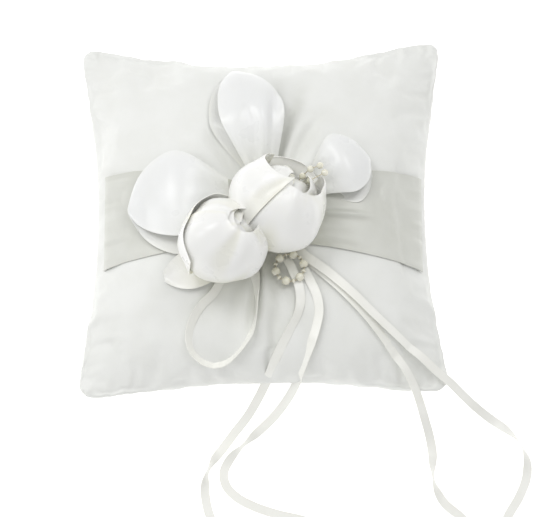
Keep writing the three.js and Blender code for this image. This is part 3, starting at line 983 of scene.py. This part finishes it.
@dataclass
class BowLoop:
    """A wide satin ribbon carried out from the flowers, folded round and brought back over itself."""

    name: str
    root: tuple[float, float]
    tip: tuple[float, float]
    half: float
    lean: float
    height: float = 12.0
    lift: float = 1.3
    thickness: float = 0.35
    root_share: float = 0.42  # width at the root, as a share of the full width
    rounding: float = 0.05
    root_gap: float = 1.6  # between the two layers at the root, in mm
    bulge: float = 3.2  # how far the upper layer arches across, in mm
    flute_depth: float = 1.1  # of the small gathers at the root, in mm

    def build(self, cushion: Cushion, satin: Material) -> None:
        """Make the loop.

        Along the ribbon the place is a turn from 0 to pi: its sine carries the ribbon out to the
        fold and back, and its cosine raises the upper layer. The fold is an arch: the ribbon is
        pulled back by the rise of a half ellipse over its width, and its edges draw together.

        Args:
            cushion: what the lower layer lies on.
            satin: its finish.
        """
        turn = np.linspace(0.03, 0.97, 97) * np.pi
        across = np.linspace(-1, 1, 41)
        turn, across = np.meshgrid(turn, across, indexing="ij")
        run = np.array(self.tip) - np.array(self.root)
        length = float(np.linalg.norm(run))
        out = run / length
        side = np.array([-out[1], out[0]])
        reach = np.sin(turn) ** 0.75
        arch = 1 - np.sqrt(1 - 0.9 * across**2)
        distance = length * reach * (1 - self.rounding * arch * reach**2)
        opened = smooth(reach, 0.0, 0.66)
        upper = (1 - np.cos(turn)) / 2
        drawn_in = np.sqrt(1 - 0.97 * np.clip((reach - 0.5) / 0.5, 0, 1) ** 2)
        width = self.half * (self.root_share + (1 - self.root_share) * opened) * drawn_in
        shift = self.lean * opened * (2 * upper - 1)
        x = self.root[0] + out[0] * distance + side[0] * (across * width + shift)
        y = self.root[1] + out[1] * distance + side[1] * (across * width + shift)
        ground = cushion.on_front(x, y)[0][..., 2]
        bulge = self.bulge * upper * opened * (1 - across**2)
        flute = self.flute_depth * (1 - opened) * np.cos(across * 7.5) * upper
        rise = (self.root_gap + (self.height - self.root_gap) * opened) * upper
        z = ground + self.lift + rise + bulge + flute
        points = np.stack([x, y, z], axis=-1)
        # painted shade: darker on the lower layer, under the upper one, and near the root by the flowers
        fold = 0.3 * (1 - smooth(upper, 0.1, 0.6)) + 0.35 * (1 - smooth(distance / length, 0.1, 0.5))
        piece = cloth_slab("satin_" + self.name, points, self.thickness, np.clip(fold, 0, 1), edge=0.4)
        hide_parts(self.name)
        dress(piece, satin)


LOOPS = (
    BowLoop("loop_top", (2, 9), (-17, 79), 18.5, -3.5, height=9.0, root_share=0.34),
    BowLoop("loop_left", (-7, 3), (-74, -3), 25.0, -5.0, height=9.0, root_share=0.34),
    BowLoop("loop_right", (25, 10), (58, 25), 18.0, 2.5, height=9.0),
)


# ------------------------------------------------------------------ narrow ribbons


@dataclass
class NarrowRibbon:
    """A free ribbon, 5 mm wide. A route point is x, y and, off the cushion, the height."""

    name: str
    route: tuple
    far_end: str
    lift: float = 0.65
    width: float = 5.0
    thickness: float = 0.35
    table_lift: float = 0.45
    # The ribbon rests on the cushion inside this reach: to each side, down, and down for route points.
    edge: tuple[float, float, float] = (95.0, -91.0, -88.0)
    twists: tuple = ()  # share of the length, degrees, spread as a share of the length

    def line(self, cushion: Cushion) -> tuple[Array, Array]:
        """Lay the route on the cushion and the table.

        Args:
            cushion: what the first stretch lies on.

        Returns:
            Points along the middle of the ribbon, and the way its face looks at each.
        """
        knots = []
        for place in self.route:
            x, y = place[:2]
            on_cushion = len(place) == 2 and abs(x) < 100 and y > self.edge[2]
            if on_cushion:
                point, normal = cushion.on_front(np.array([x]), np.array([y]))
                knots.append(np.concatenate([point[0] + normal[0] * self.lift, normal[0]]))
            else:
                height = place[2] if len(place) == 3 else self.table_lift
                knots.append(np.array([x, y, height, 0.0, 0.0, 1.0]))
        samples = spline(np.array(knots), 12 * len(knots))
        point, normal = cushion.on_front(samples[:, 0], samples[:, 1])
        over = (samples[:, 1] > self.edge[1]) & (np.abs(samples[:, 0]) < self.edge[0])
        lowest = point[:, 2] + self.lift / np.maximum(normal[:, 2], 0.4)
        samples[:, 2] = np.where(over, np.maximum(samples[:, 2], lowest), samples[:, 2])
        return samples[:, :3], unit(samples[:, 3:])

    def build(self, cushion: Cushion, satin: Material) -> None:
        """Carry the ribbon's flat section along its line, turned about it where it twists.

        Args:
            cushion: what it lies on.
            satin: its finish.
        """
        line, face = self.line(cushion)
        tangent = unit(np.gradient(line, axis=0))
        across = unit(np.cross(tangent, face))
        upright = np.cross(across, tangent)
        share = np.linspace(0, 1, len(line))
        angle = np.zeros(len(line))
        for at, degrees, spread in self.twists:
            angle = angle + np.radians(degrees) * np.exp(-(((share - at) / spread) ** 2))
        turned = across * np.cos(angle)[:, None] + upright * np.sin(angle)[:, None]
        half = np.linspace(-self.width / 2, self.width / 2, 9)
        rise = np.abs(np.sin(angle)) * self.width / 2 * 0.9
        line = line + np.stack([0 * rise, 0 * rise, rise], axis=1)
        points = line[:, None, :] + turned[:, None, :] * half[None, :, None]
        piece = cloth_slab("satin_" + self.name, points, self.thickness, None, edge=0.05)
        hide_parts(self.name)
        dress(piece, satin)


RIBBONS = (
    NarrowRibbon(
        "tail_inner_left",
        (
            (13, -30), (16.5, -38), (19.5, -46), (20.3, -53), (18.5, -61), (14.5, -69), (9.5, -78),
            (6, -84.5, 41), (2.5, -91.5, 31), (-2.5, -99, 18), (-9, -107.5, 6.5), (-16, -115.5, 1.6),
            (-22, -123.5), (-27.5, -131), (-31, -138.5), (-32.2, -146), (-31.5, -154), (-29, -163),
            (-24, -173), (-16.5, -182), (-9, -191),
        ),
        "bare",
        twists=((0.22, 34, 0.2), (0.70, 80, 0.04)),
    ),
    NarrowRibbon(
        "tail_inner_right",
        (
            (22, -36.5), (25.8, -44), (29, -51.5), (30.2, -59), (28.8, -67), (26, -75.5),
            (22.8, -83.5, 38.5), (19, -91.5, 28.5), (13.5, -99.5, 17), (5.5, -108, 7.5), (-4, -116, 1.6),
            (-12, -123.5), (-18.3, -130), (-21.8, -137.5), (-20.5, -145), (-14.5, -151.5),
            (-4.5, -156.8), (8, -161), (21, -164), (34, -168), (46, -174), (56, -182),
        ),
        "bare",
        twists=((0.2, -30, 0.16), (0.52, 80, 0.04)),
    ),
    NarrowRibbon(
        "tail_outer_lower",
        (
            (15, -21), (20, -26), (26, -32), (33, -38.5), (41, -46), (49.5, -54.5), (57.5, -63), (65, -72),
            (71.5, -80.5),
            (77, -88, 39), (81.5, -95, 33), (85.5, -102, 22), (89, -109.5, 10), (92, -118, 2.4),
            (93.5, -127), (93.3, -136), (94.5, -145), (99.5, -154.5), (108.5, -162.5), (115.5, -171),
            (116.5, -181), (113, -191),
        ),
        "bare",
        twists=((0.35, 30, 0.2), (0.74, 75, 0.04)),
    ),
    NarrowRibbon(
        "tail_outer_upper",
        (
            (16, -21.5), (20.5, -25.5), (25, -29.5), (33, -36), (41.5, -43.5), (50.5, -51.5), (59.5, -59.8),
            (68.5, -67.5), (77.5, -75),
            (86, -81.5, 39), (94, -87.8, 34), (102, -93, 28), (110, -98.2, 18), (118, -103, 8.5),
            (126, -107.8, 2.4), (134.5, -113.5), (141.5, -121), (145.4, -130), (145.2, -140),
            (141, -151), (134.5, -162), (130.5, -173), (131.5, -184),
        ),
        "bare",
        twists=((0.3, 24, 0.2), (0.73, 80, 0.045)),
        lift=1.8,
    ),
    NarrowRibbon(
        "loop_narrow",
        (
            (-22.5, -41), (-27, -49.5), (-33.5, -56.5), (-38.3, -64.5), (-40.3, -72.5), (-38.8, -79.5),
            (-33.7, -84.5), (-26.8, -86.3), (-19.3, -84.5), (-12.2, -79), (-7, -71.5), (-4.2, -63.5),
            (-3.2, -54), (-3.6, -46),
            (-5, -37), (-7, -28.5),
        ),
        "object",
        twists=((0.55, 80, 0.36),),
    ),
)


# ------------------------------------------------------------------ flowers


@dataclass
class Petal:
    """One satin petal as a patch of a cup round the flower's axis. Angles are in degrees."""

    name: str
    node: str | None
    theta: float  # where its middle stands round the axis
    half: float  # half its span
    rim: float  # how far it reaches from the foot: 90 is a half ball
    inset: float = 0.0  # how far inside the flower's outer skin it lies, in mm
    spiral: float = 0.0  # how much farther in its last edge lies than its first, in mm
    slant: float = 0.0  # how much lower the rim is at the last edge than at the first, in degrees
    round: float = 0.9  # 0 leaves the corners square, 1 makes the outline a half ellipse
    curl: float = 0.0  # how far the lip turns outwards, in mm
    foot: float = 10.0
    wave: float = 0.5  # depth of the soft folds, in mm
    seed: float = 0.0  # shifts its finest folds


@dataclass
class Flower:
    """A satin flower of nested petals on a rolled heart."""

    nodes: tuple[str, ...]
    axis: tuple[float, float, float]
    radius: float
    petals: tuple[Petal, ...]
    seed: float = 0.0  # shifts the folds that its petals share
    sink: float = 0.0  # how far it is pressed down into the cushion, in mm
    shift: tuple[float, float] = (0.0, 0.0)

    def __post_init__(self) -> None:
        """Find the flower's middle from the frame."""
        self.out = Vector(self.axis).normalized()
        self.turn = np.array(Vector((0, 0, 1)).rotation_difference(self.out).to_matrix())
        low = box_mm(*self.nodes)[0]
        middle = centre_mm(*self.nodes)
        plan = middle[:2] + np.array(self.shift)
        self.centre = np.array([*plan, low[2] + self.radius - self.sink])

    def place(self, radius: Array, theta: Array, phi: Array) -> Array:
        """Place points of a cup: phi runs up from the foot, theta round the axis.

        Args:
            radius: distance from the flower's middle, in millimetres.
            theta: in radians.
            phi: in radians.

        Returns:
            Points in millimetres.
        """
        out = radius * np.sin(phi)
        local = np.stack([out * np.cos(theta), out * np.sin(theta), -radius * np.cos(phi)], axis=-1)
        return local @ self.turn.T + self.centre

    def petal_points(self, petal: Petal, rows: int = 61, columns: int = 61) -> tuple[Array, Array]:
        """Work out a petal's grid.

        The square of (s, t) is pressed into a rounded outline: each coordinate is scaled by the
        root of one less a share of half the other's square. The rim slants across. The last edge
        lies farther in than the first, so that neighbours wrap.
        Near the rim the lip turns outwards. Soft folds are sines of both angles, which all petals
        of the flower share, so that the layers keep their distance, and they die out at the top.

        Args:
            petal: its sizes.
            rows: from foot to rim.
            columns: across.

        Returns:
            Points, and how much painted shade each takes, deepest in folds.
        """
        s, t = np.meshgrid(np.linspace(0, 1, rows), np.linspace(-1, 1, columns), indexing="ij")
        up = s * np.sqrt(1 - petal.round * t**2 / 2)
        over = t * np.sqrt(1 - petal.round * s**2 / 2)
        rim = petal.rim - petal.slant * over
        phi = np.radians(petal.foot + (rim - petal.foot) * up)
        theta = np.radians(petal.theta + petal.half * over)
        lip = smooth(s, 0.80, 1.0) ** 1.5
        soft = np.sin(3 * theta + 1.7 * phi + self.seed)
        soft = soft + 0.6 * np.sin(5 * theta - 2.3 * phi + 2 * self.seed)
        soft = soft + 0.35 * np.sin(9 * theta + 1.1 * phi + petal.seed)
        radius = self.radius - petal.inset - petal.spiral * (t + 1) / 2
        ruffle = petal.wave * soft * smooth(s, 0.1, 0.5) * smooth(np.sin(phi), 0.1, 0.6)
        radius = radius + petal.curl * lip + ruffle
        points = self.place(radius, theta, phi)
        # painted shade: darker near the foot, on inner petals below the rim, along the side edges and in the
        # troughs of the soft folds
        inward = smooth(np.full_like(s, petal.inset), 1.0, 9.0)
        fold = 0.45 * (1 - smooth(s, 0.1, 0.65)) + 0.3 * inward * (1 - smooth(s, 0.55, 1.0))
        fold = fold + 0.2 * smooth(np.abs(t), 0.93, 1.0) + 0.3 * smooth(-soft, 0.0, 1.6)
        return points, np.clip(fold, 0, 1)

    def build(self, satin: Material) -> None:
        """Make every petal.

        Args:
            satin: the finish of the petals.
        """
        for petal in self.petals:
            points, fold = self.petal_points(petal)
            piece = cloth_slab(petal.name, points, PETAL_CLOTH, fold)
            if petal.node:
                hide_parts(petal.node)
            dress(piece, satin)


BUD = dict(
    nodes=("bud_petal_front", "bud_petal_left", "bud_petal_back", "bud_petal_inner"),
    axis=(0.45, 0.22, 0.86),
    radius=24.0,
    petals=(
        Petal("bud_wrap_left", "bud_petal_left", 145, 86, 104, -0.8, 0.0, 8, 0.5, 0.6, wave=0.75, seed=2.0),
        Petal("bud_wrap_front", "bud_petal_front", -78, 130, 163, 0.3, 0.8, 4, 0.3, 0.2, wave=0.75, seed=0.4),
        Petal("bud_wrap_back", "bud_petal_back", 112, 135, 160, 1.0, 0.4, 0, 0.15, 0.4, wave=0.75, seed=0.4),
        Petal("bud_wrap_inner", "bud_petal_inner", 240, 165, 168, 2.1, 1.0, 6, 0.4, 0.3, wave=0.6, seed=1.1),
        Petal("bud_heart", "bud_core", 40, 330, 179.2, 4.0, 4.0, 0, 0.05, 0.0, wave=0.5, seed=0.7, foot=80),
    ),
    seed=0.6,
    sink=1.0,
    shift=(1.2, -1.5),
)
BLOOM = dict(
    nodes=("bloom_petal_front", "bloom_petal_left", "bloom_petal_back", "bloom_petal_right"),
    axis=(0.40, 0.33, 0.855),
    radius=26.0,
    petals=(
        Petal(
            "bloom_cup_front", "bloom_petal_front", -62, 106, 156, 0.0, 0.6, 20, 0.35, 0.4, wave=0.85, seed=1.7
        ),
        Petal(
            "bloom_cup_left", "bloom_petal_left", 161, 62, 144, -1.3, -0.4, -32, 0.12, 1.2, wave=0.85, seed=0.3
        ),
        Petal("bloom_cup_back", "bloom_petal_back", 68, 84, 104, 1.0, 0.6, 0, 0.8, 4.0, wave=0.85, seed=2.6),
        Petal("bloom_cup_right", "bloom_petal_right", 8, 80, 104, 2.2, 0.6, 0, 0.85, 1.4, wave=0.85, seed=4.0),
        Petal("bloom_cup_under", None, 250, 165, 165, 4.6, 1.2, 10, 0.25, 0.5, wave=0.85, seed=5.0),
        Petal(
            "bloom_heart", "bloom_core", 40, 330, 179.2, 8.0, 3.0, 0, 0.05, 0.0, wave=0.7, seed=0.9, foot=60
        ),
    ),
    seed=2.2,
    sink=3.0,
    shift=(-2.3, -2.4),
)


@dataclass
class UnderPetal:
    """The leaf-shaped satin petal that lies on the cushion under the bud."""

    root: tuple[float, float] = (-29.0, -35.0)
    tip: tuple[float, float] = (-53.5, -41.0)
    half: float = 10.5
    root_lift: float = 3.9
    fall: float = 2.6  # how much lower the tip lies than the root
    cup: float = 1.1  # how far the sides stand up

    def build(self, cushion: Cushion, satin: Material) -> None:
        """Make the petal: its width follows a half sine, and it dips along its middle.

        Args:
            cushion: what it lies on.
            satin: its finish.
        """
        s, t = np.meshgrid(np.linspace(0, 1, 41), np.linspace(-1, 1, 31), indexing="ij")
        run = np.array(self.tip) - np.array(self.root)
        side = np.array([-run[1], run[0]]) / np.linalg.norm(run)
        width = self.half * np.sin(np.pi * (0.22 + 0.74 * s)) ** 0.7
        x = self.root[0] + run[0] * s + side[0] * width * t
        y = self.root[1] + run[1] * s + side[1] * width * t
        point, normal = cushion.on_front(x, y)
        lift = self.root_lift - self.fall * smooth(s, 0.3, 1.0) + self.cup * t**2 * smooth(s, 0.2, 0.8)
        points = point + normal * lift[..., None]
        # painted shade: darker towards the root, which lies under the bud
        piece = cloth_slab("satin_under_petal", points, PETAL_CLOTH, 0.35 * (1 - s))
        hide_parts("bud_under_petal")
        dress(piece, satin)


# ------------------------------------------------------------------ beads


def tube(name: str, line: Array, radius: float, sides: int = 10) -> Piece:
    """Carry a circle along a line of points and close both ends.

    Args:
        name: the piece's name.
        line: count by three, in millimetres.
        radius: in millimetres.
        sides: of the section.

    Returns:
        The closed piece.
    """
    tangent = unit(np.gradient(line, axis=0))
    guide = np.array([0.12, 0.25, 0.96])
    across = unit(np.cross(tangent, guide))
    upright = np.cross(across, tangent)
    angle = np.linspace(0, 2 * np.pi, sides, endpoint=False)
    ring = np.cos(angle)[None, :, None] * across[:, None] + np.sin(angle)[None, :, None] * upright[:, None]
    vertices = (line[:, None] + radius * ring).reshape(-1, 3)
    count = len(line)
    index = np.arange(count * sides).reshape(count, sides)
    beside = np.roll(index, -1, axis=1)
    quads = np.stack([index[:-1], beside[:-1], beside[1:], index[1:]], axis=-1).reshape(-1, 4)
    vertices = np.concatenate([vertices, line[[0, -1]]])
    caps = []
    for end, row in zip((count * sides, count * sides + 1), (index[0], index[-1])):
        pairs = row.reshape(-1, 2)
        far = np.roll(row, -2).reshape(-1, 2)[:, 0]
        cap = np.stack([np.full(len(pairs), end), pairs[:, 0], pairs[:, 1], far], axis=1)
        caps.append(cap if row[0] else cap[:, ::-1])
    return mesh_object(name, vertices, np.concatenate([quads, *caps]))


def closed_ring(name: str, points: Array) -> Piece:
    """Make a mesh of a grid of points that closes on itself both ways, as the skin of a ring does."""
    turns, around = points.shape[:2]
    index = np.arange(turns * around).reshape(turns, around)
    ahead = np.roll(index, -1, axis=0)
    quads = np.stack([index, ahead, np.roll(ahead, -1, axis=1), np.roll(index, -1, axis=1)], axis=-1)
    return mesh_object(name, points.reshape(-1, 3), quads.reshape(-1, 4))


def bead(
    name: str, centre: Array, along: Array, radius: float, half_length: float, bore: float
) -> Piece:
    """Turn a bead's section round its hole: an ellipse outside and a straight bore inside.

    Args:
        name: the piece's name.
        centre: in millimetres.
        along: the direction of the hole.
        radius: of the bead.
        half_length: half its length along the hole.
        bore: radius of the hole.

    Returns:
        The closed piece.
    """
    edge = np.arcsin(bore / radius)
    arc = np.linspace(-np.pi / 2 + edge, np.pi / 2 - edge, 23)
    outside = np.stack([radius * np.cos(arc), half_length * np.sin(arc)], axis=1)
    inside = np.stack([np.full(5, bore), np.linspace(outside[-1, 1], outside[0, 1], 7)[1:-1]], axis=1)
    profile = np.concatenate([outside, inside])
    angle = np.linspace(0, 2 * np.pi, 32, endpoint=False)
    along = unit(np.asarray(along, dtype=float))
    across = unit(np.cross(along, np.array([0.3, 0.2, 0.93])))
    upright = np.cross(across, along)
    ring = np.cos(angle)[:, None] * across + np.sin(angle)[:, None] * upright
    points = centre + profile[None, :, 0, None] * ring[:, None] + profile[None, :, 1, None] * along
    return closed_ring(name, points)


@dataclass
class PearlRing:
    """Six pearls and five small spacers on a wire ring, tied at its upper edge so that it swings."""

    pearls: int = 6
    spacers: int = 5
    pearl_radius: float = 2.4
    pearl_bore: float = 0.9
    spacer_radius: float = 1.3
    spacer_bore: float = 0.75
    spacer_half: float = 0.975  # half its length along the wire
    wire_radius: float = 0.3

    def build(self, pearl: Material, wire: Material, thread: Material) -> None:
        """Make the beads and the wire where the frame has them.

        Args:
            pearl: finish of the beads.
            wire: finish of the ring's wire.
            thread: finish of the tie.
        """
        centres = np.array([centre_mm(f"ring_pearl_{k + 1}") for k in range(self.pearls)])
        middle = centres.mean(axis=0)
        normal = unit(np.cross(centres[0] - middle, centres[2] - middle))
        kinds = (
            ("pearl", self.pearls, self.pearl_radius, self.pearl_radius, self.pearl_bore),
            ("spacer", self.spacers, self.spacer_radius, self.spacer_half, self.spacer_bore),
        )
        for kind, count, radius, half_length, bore in kinds:
            for k in range(count):
                node = f"ring_{kind}_{k + 1}"
                centre = centre_mm(node)
                along = np.cross(normal, centre - middle)
                piece = bead(f"{kind}_{k + 1}", centre, along, radius, half_length, bore)
                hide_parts(node)
                dress(piece, pearl, body="pearl_ring")
        angle = np.linspace(0, 2 * np.pi, 96)
        first = unit(centres[0] - middle)
        second = np.cross(normal, first)
        radius = float(np.linalg.norm(centres[0] - middle)) + self.pearl_radius**2 / 32
        circle = middle + radius * (np.cos(angle)[:, None] * first + np.sin(angle)[:, None] * second)
        hoop = self.hoop("pearl_ring_wire", circle[:-1], middle, normal)
        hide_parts("ring_wire")
        dress(hoop, wire, body="pearl_ring")
        bpy.data.objects["ring_tie"].data.materials.clear()
        bpy.data.objects["ring_tie"].data.materials.append(thread)

    def hoop(self, name: str, circle: Array, middle: Array, normal: Array) -> Piece:
        """Carry a small circle round a ring of points.

        Args:
            name: the piece's name.
            circle: the ring of points.
            middle: its centre.
            normal: its axis.

        Returns:
            The closed ring.
        """
        radial = unit(circle - middle)
        angle = np.linspace(0, 2 * np.pi, 12, endpoint=False)
        section = np.cos(angle)[None, :, None] * radial[:, None] + np.sin(angle)[None, :, None] * normal
        points = circle[:, None] + self.wire_radius * section
        return closed_ring(name, points)


@dataclass
class Spray:
    """Two beaded wires that rise from the heart of the open flower and lean over its rim."""

    pearl_radius: float = 1.9
    rice_radius: float = 1.1
    rice_half: float = 3.4
    bore: float = 0.55
    wire_radius: float = 0.24

    def build(self, pearl: Material, wire: Material) -> None:
        """Make the beads where the frame has them, and run each wire through its beads.

        Args:
            pearl: finish of the beads.
            wire: finish of the wires.
        """
        start = centre_mm("bloom_core")
        branches = {
            "upper": ("spray_rice_upper", "spray_pearl_1", "spray_pearl_2", "spray_pearl_3"),
            "lower": ("spray_rice_lower", "spray_pearl_4", "spray_pearl_5"),
        }
        for branch, nodes in branches.items():
            centres = np.array([start, *[centre_mm(node) for node in nodes]])
            along = np.gradient(centres, axis=0)
            for node, centre, way in zip(nodes, centres[1:], along[1:]):
                rice = "rice" in node
                radius = self.rice_radius if rice else self.pearl_radius
                half = self.rice_half if rice else self.pearl_radius
                piece = bead(node + "_bead", centre, way, radius, half, self.bore)
                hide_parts(node)
                dress(piece, pearl)
            stem = tube(f"spray_stem_{branch}", spline(centres, 60), self.wire_radius)
            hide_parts(f"spray_wire_{branch}")
            dress(stem, wire)


# ------------------------------------------------------------------ studio


@dataclass
class Studio:
    """A pale sweep under two large soft boxes, and the camera above and in front."""

    elevation: float = 74.0
    distance: float = 1500.0
    view_width: float = 295.3
    target: tuple[float, float, float] = (1.7, -22.5, 28.0)
    sensor: float = 36.0
    floor_reach: float = 3000.0
    floor_gap: float = 0.05  # between the object and the floor
    world_strength: float = 0.62

    def camera(self) -> None:
        """Stand the camera back along its elevation, with a lens that frames the view width."""
        angle = np.radians(self.elevation)
        back = Vector((0.0, -np.cos(angle), np.sin(angle)))
        data = bpy.data.cameras.new("camera")
        data.sensor_width = self.sensor
        data.lens = self.sensor * self.distance / self.view_width
        data.clip_end = 20.0
        camera = bpy.data.objects.new("camera", data)
        camera.location = (Vector(self.target) + back * self.distance) * MM
        camera.rotation_euler = back.to_track_quat("Z", "Y").to_euler()
        bpy.context.scene.collection.objects.link(camera)
        bpy.context.scene.camera = camera

    def softbox(self, name: str, place: tuple, size: tuple, power: float, aim: tuple = (0, 0, 40)) -> None:
        """Hang one rectangular light and turn it to what it lights.

        Args:
            name: its name.
            place: in millimetres.
            size: width and height in millimetres.
            power: in watts.
            aim: the point it faces.
        """
        data = bpy.data.lights.new(name, "AREA")
        data.shape = "RECTANGLE"
        data.size = size[0] * MM
        data.size_y = size[1] * MM
        data.energy = power
        light = bpy.data.objects.new(name, data)
        light.location = Vector(place) * MM
        way = Vector(aim) - Vector(place)
        light.rotation_euler = way.to_track_quat("-Z", "Y").to_euler()
        bpy.context.scene.collection.objects.link(light)

    def floor(self) -> None:
        """Lay a pale sweep that stays bright under the cushion."""
        reach, below = self.floor_reach, self.floor_gap
        corners = [(-reach, -reach), (reach, -reach), (reach, reach), (-reach, reach)]
        vertices = np.array([(x, y, -below) for x, y in corners])
        floor = mesh_object("floor", vertices, np.array([[0, 1, 2, 3]]))
        material, tree, shader, place = new_material("painted board, pale matt")
        colour = tinted(tree, "#FDFDFC", "#FAFAF8", noise(tree, place, 25.0, 2.0))
        values = {"Roughness": 0.9, "Emission Color": linear("#FFFFFF"), "Emission Strength": 0.5}
        finish(tree, shader, {"Base Color": colour}, values)
        floor.data.materials.append(material)

    def light(self) -> None:
        """Light with two boxes on the far side and one from the left, and fill from all round."""
        self.softbox("box_left", (-380, 260, 900), (320, 420), 2.05)
        self.softbox("box_right", (340, 300, 950), (320, 420), 1.8)
        self.softbox("box_side", (-700, -60, 620), (220, 340), 1.0)
        world = bpy.data.worlds.new("studio")
        bpy.context.scene.world = world
        world.use_nodes = True
        background = world.node_tree.nodes["Background"]
        background.inputs["Color"].default_value = linear("#FFFFFF")
        background.inputs["Strength"].default_value = self.world_strength
        bpy.context.scene.view_settings.view_transform = "Standard"


def dress_frame(felt: Material) -> None:
    """Give the frame's own nodes that stay in sight their finish.

    Args:
        felt: finish of the backing and the flowers' feet.
    """
    for node in ("felt_backing", "bud_foot", "bloom_foot"):
        materials = bpy.data.objects[node].data.materials
        materials.clear()
        materials.append(felt)
        LOG.info("%s: kept from the frame, %s", node, felt.name)


def main() -> None:
    """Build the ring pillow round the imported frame."""
    logging.basicConfig(level=logging.INFO, format="%(name)s %(message)s")
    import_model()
    studio = Studio()
    studio.camera()
    finishes = {cloth.name: cloth.build() for cloth in (COVER, SASH, PETAL, LOOP, TAIL, THREAD)}
    felt, filling, pearl, wire = FELT.build(), FILLING.build(), Pearl().build(), Wire().build()
    cushion = Cushion()
    cushion.build(finishes[COVER.name], filling)
    for ribbon in RIBBONS:
        ribbon.build(cushion, finishes[TAIL.name])
    Sash().build(cushion, finishes[SASH.name])
    for loop in LOOPS:
        loop.build(cushion, finishes[LOOP.name])
    UnderPetal().build(cushion, finishes[PETAL.name])
    for sizes in (BUD, BLOOM):
        Flower(**sizes).build(finishes[PETAL.name])
    Spray().build(pearl, wire)
    PearlRing().build(pearl, wire, finishes[THREAD.name])
    dress_frame(felt)
    studio.floor()
    studio.light()


if __name__ == "__main__":
    main()
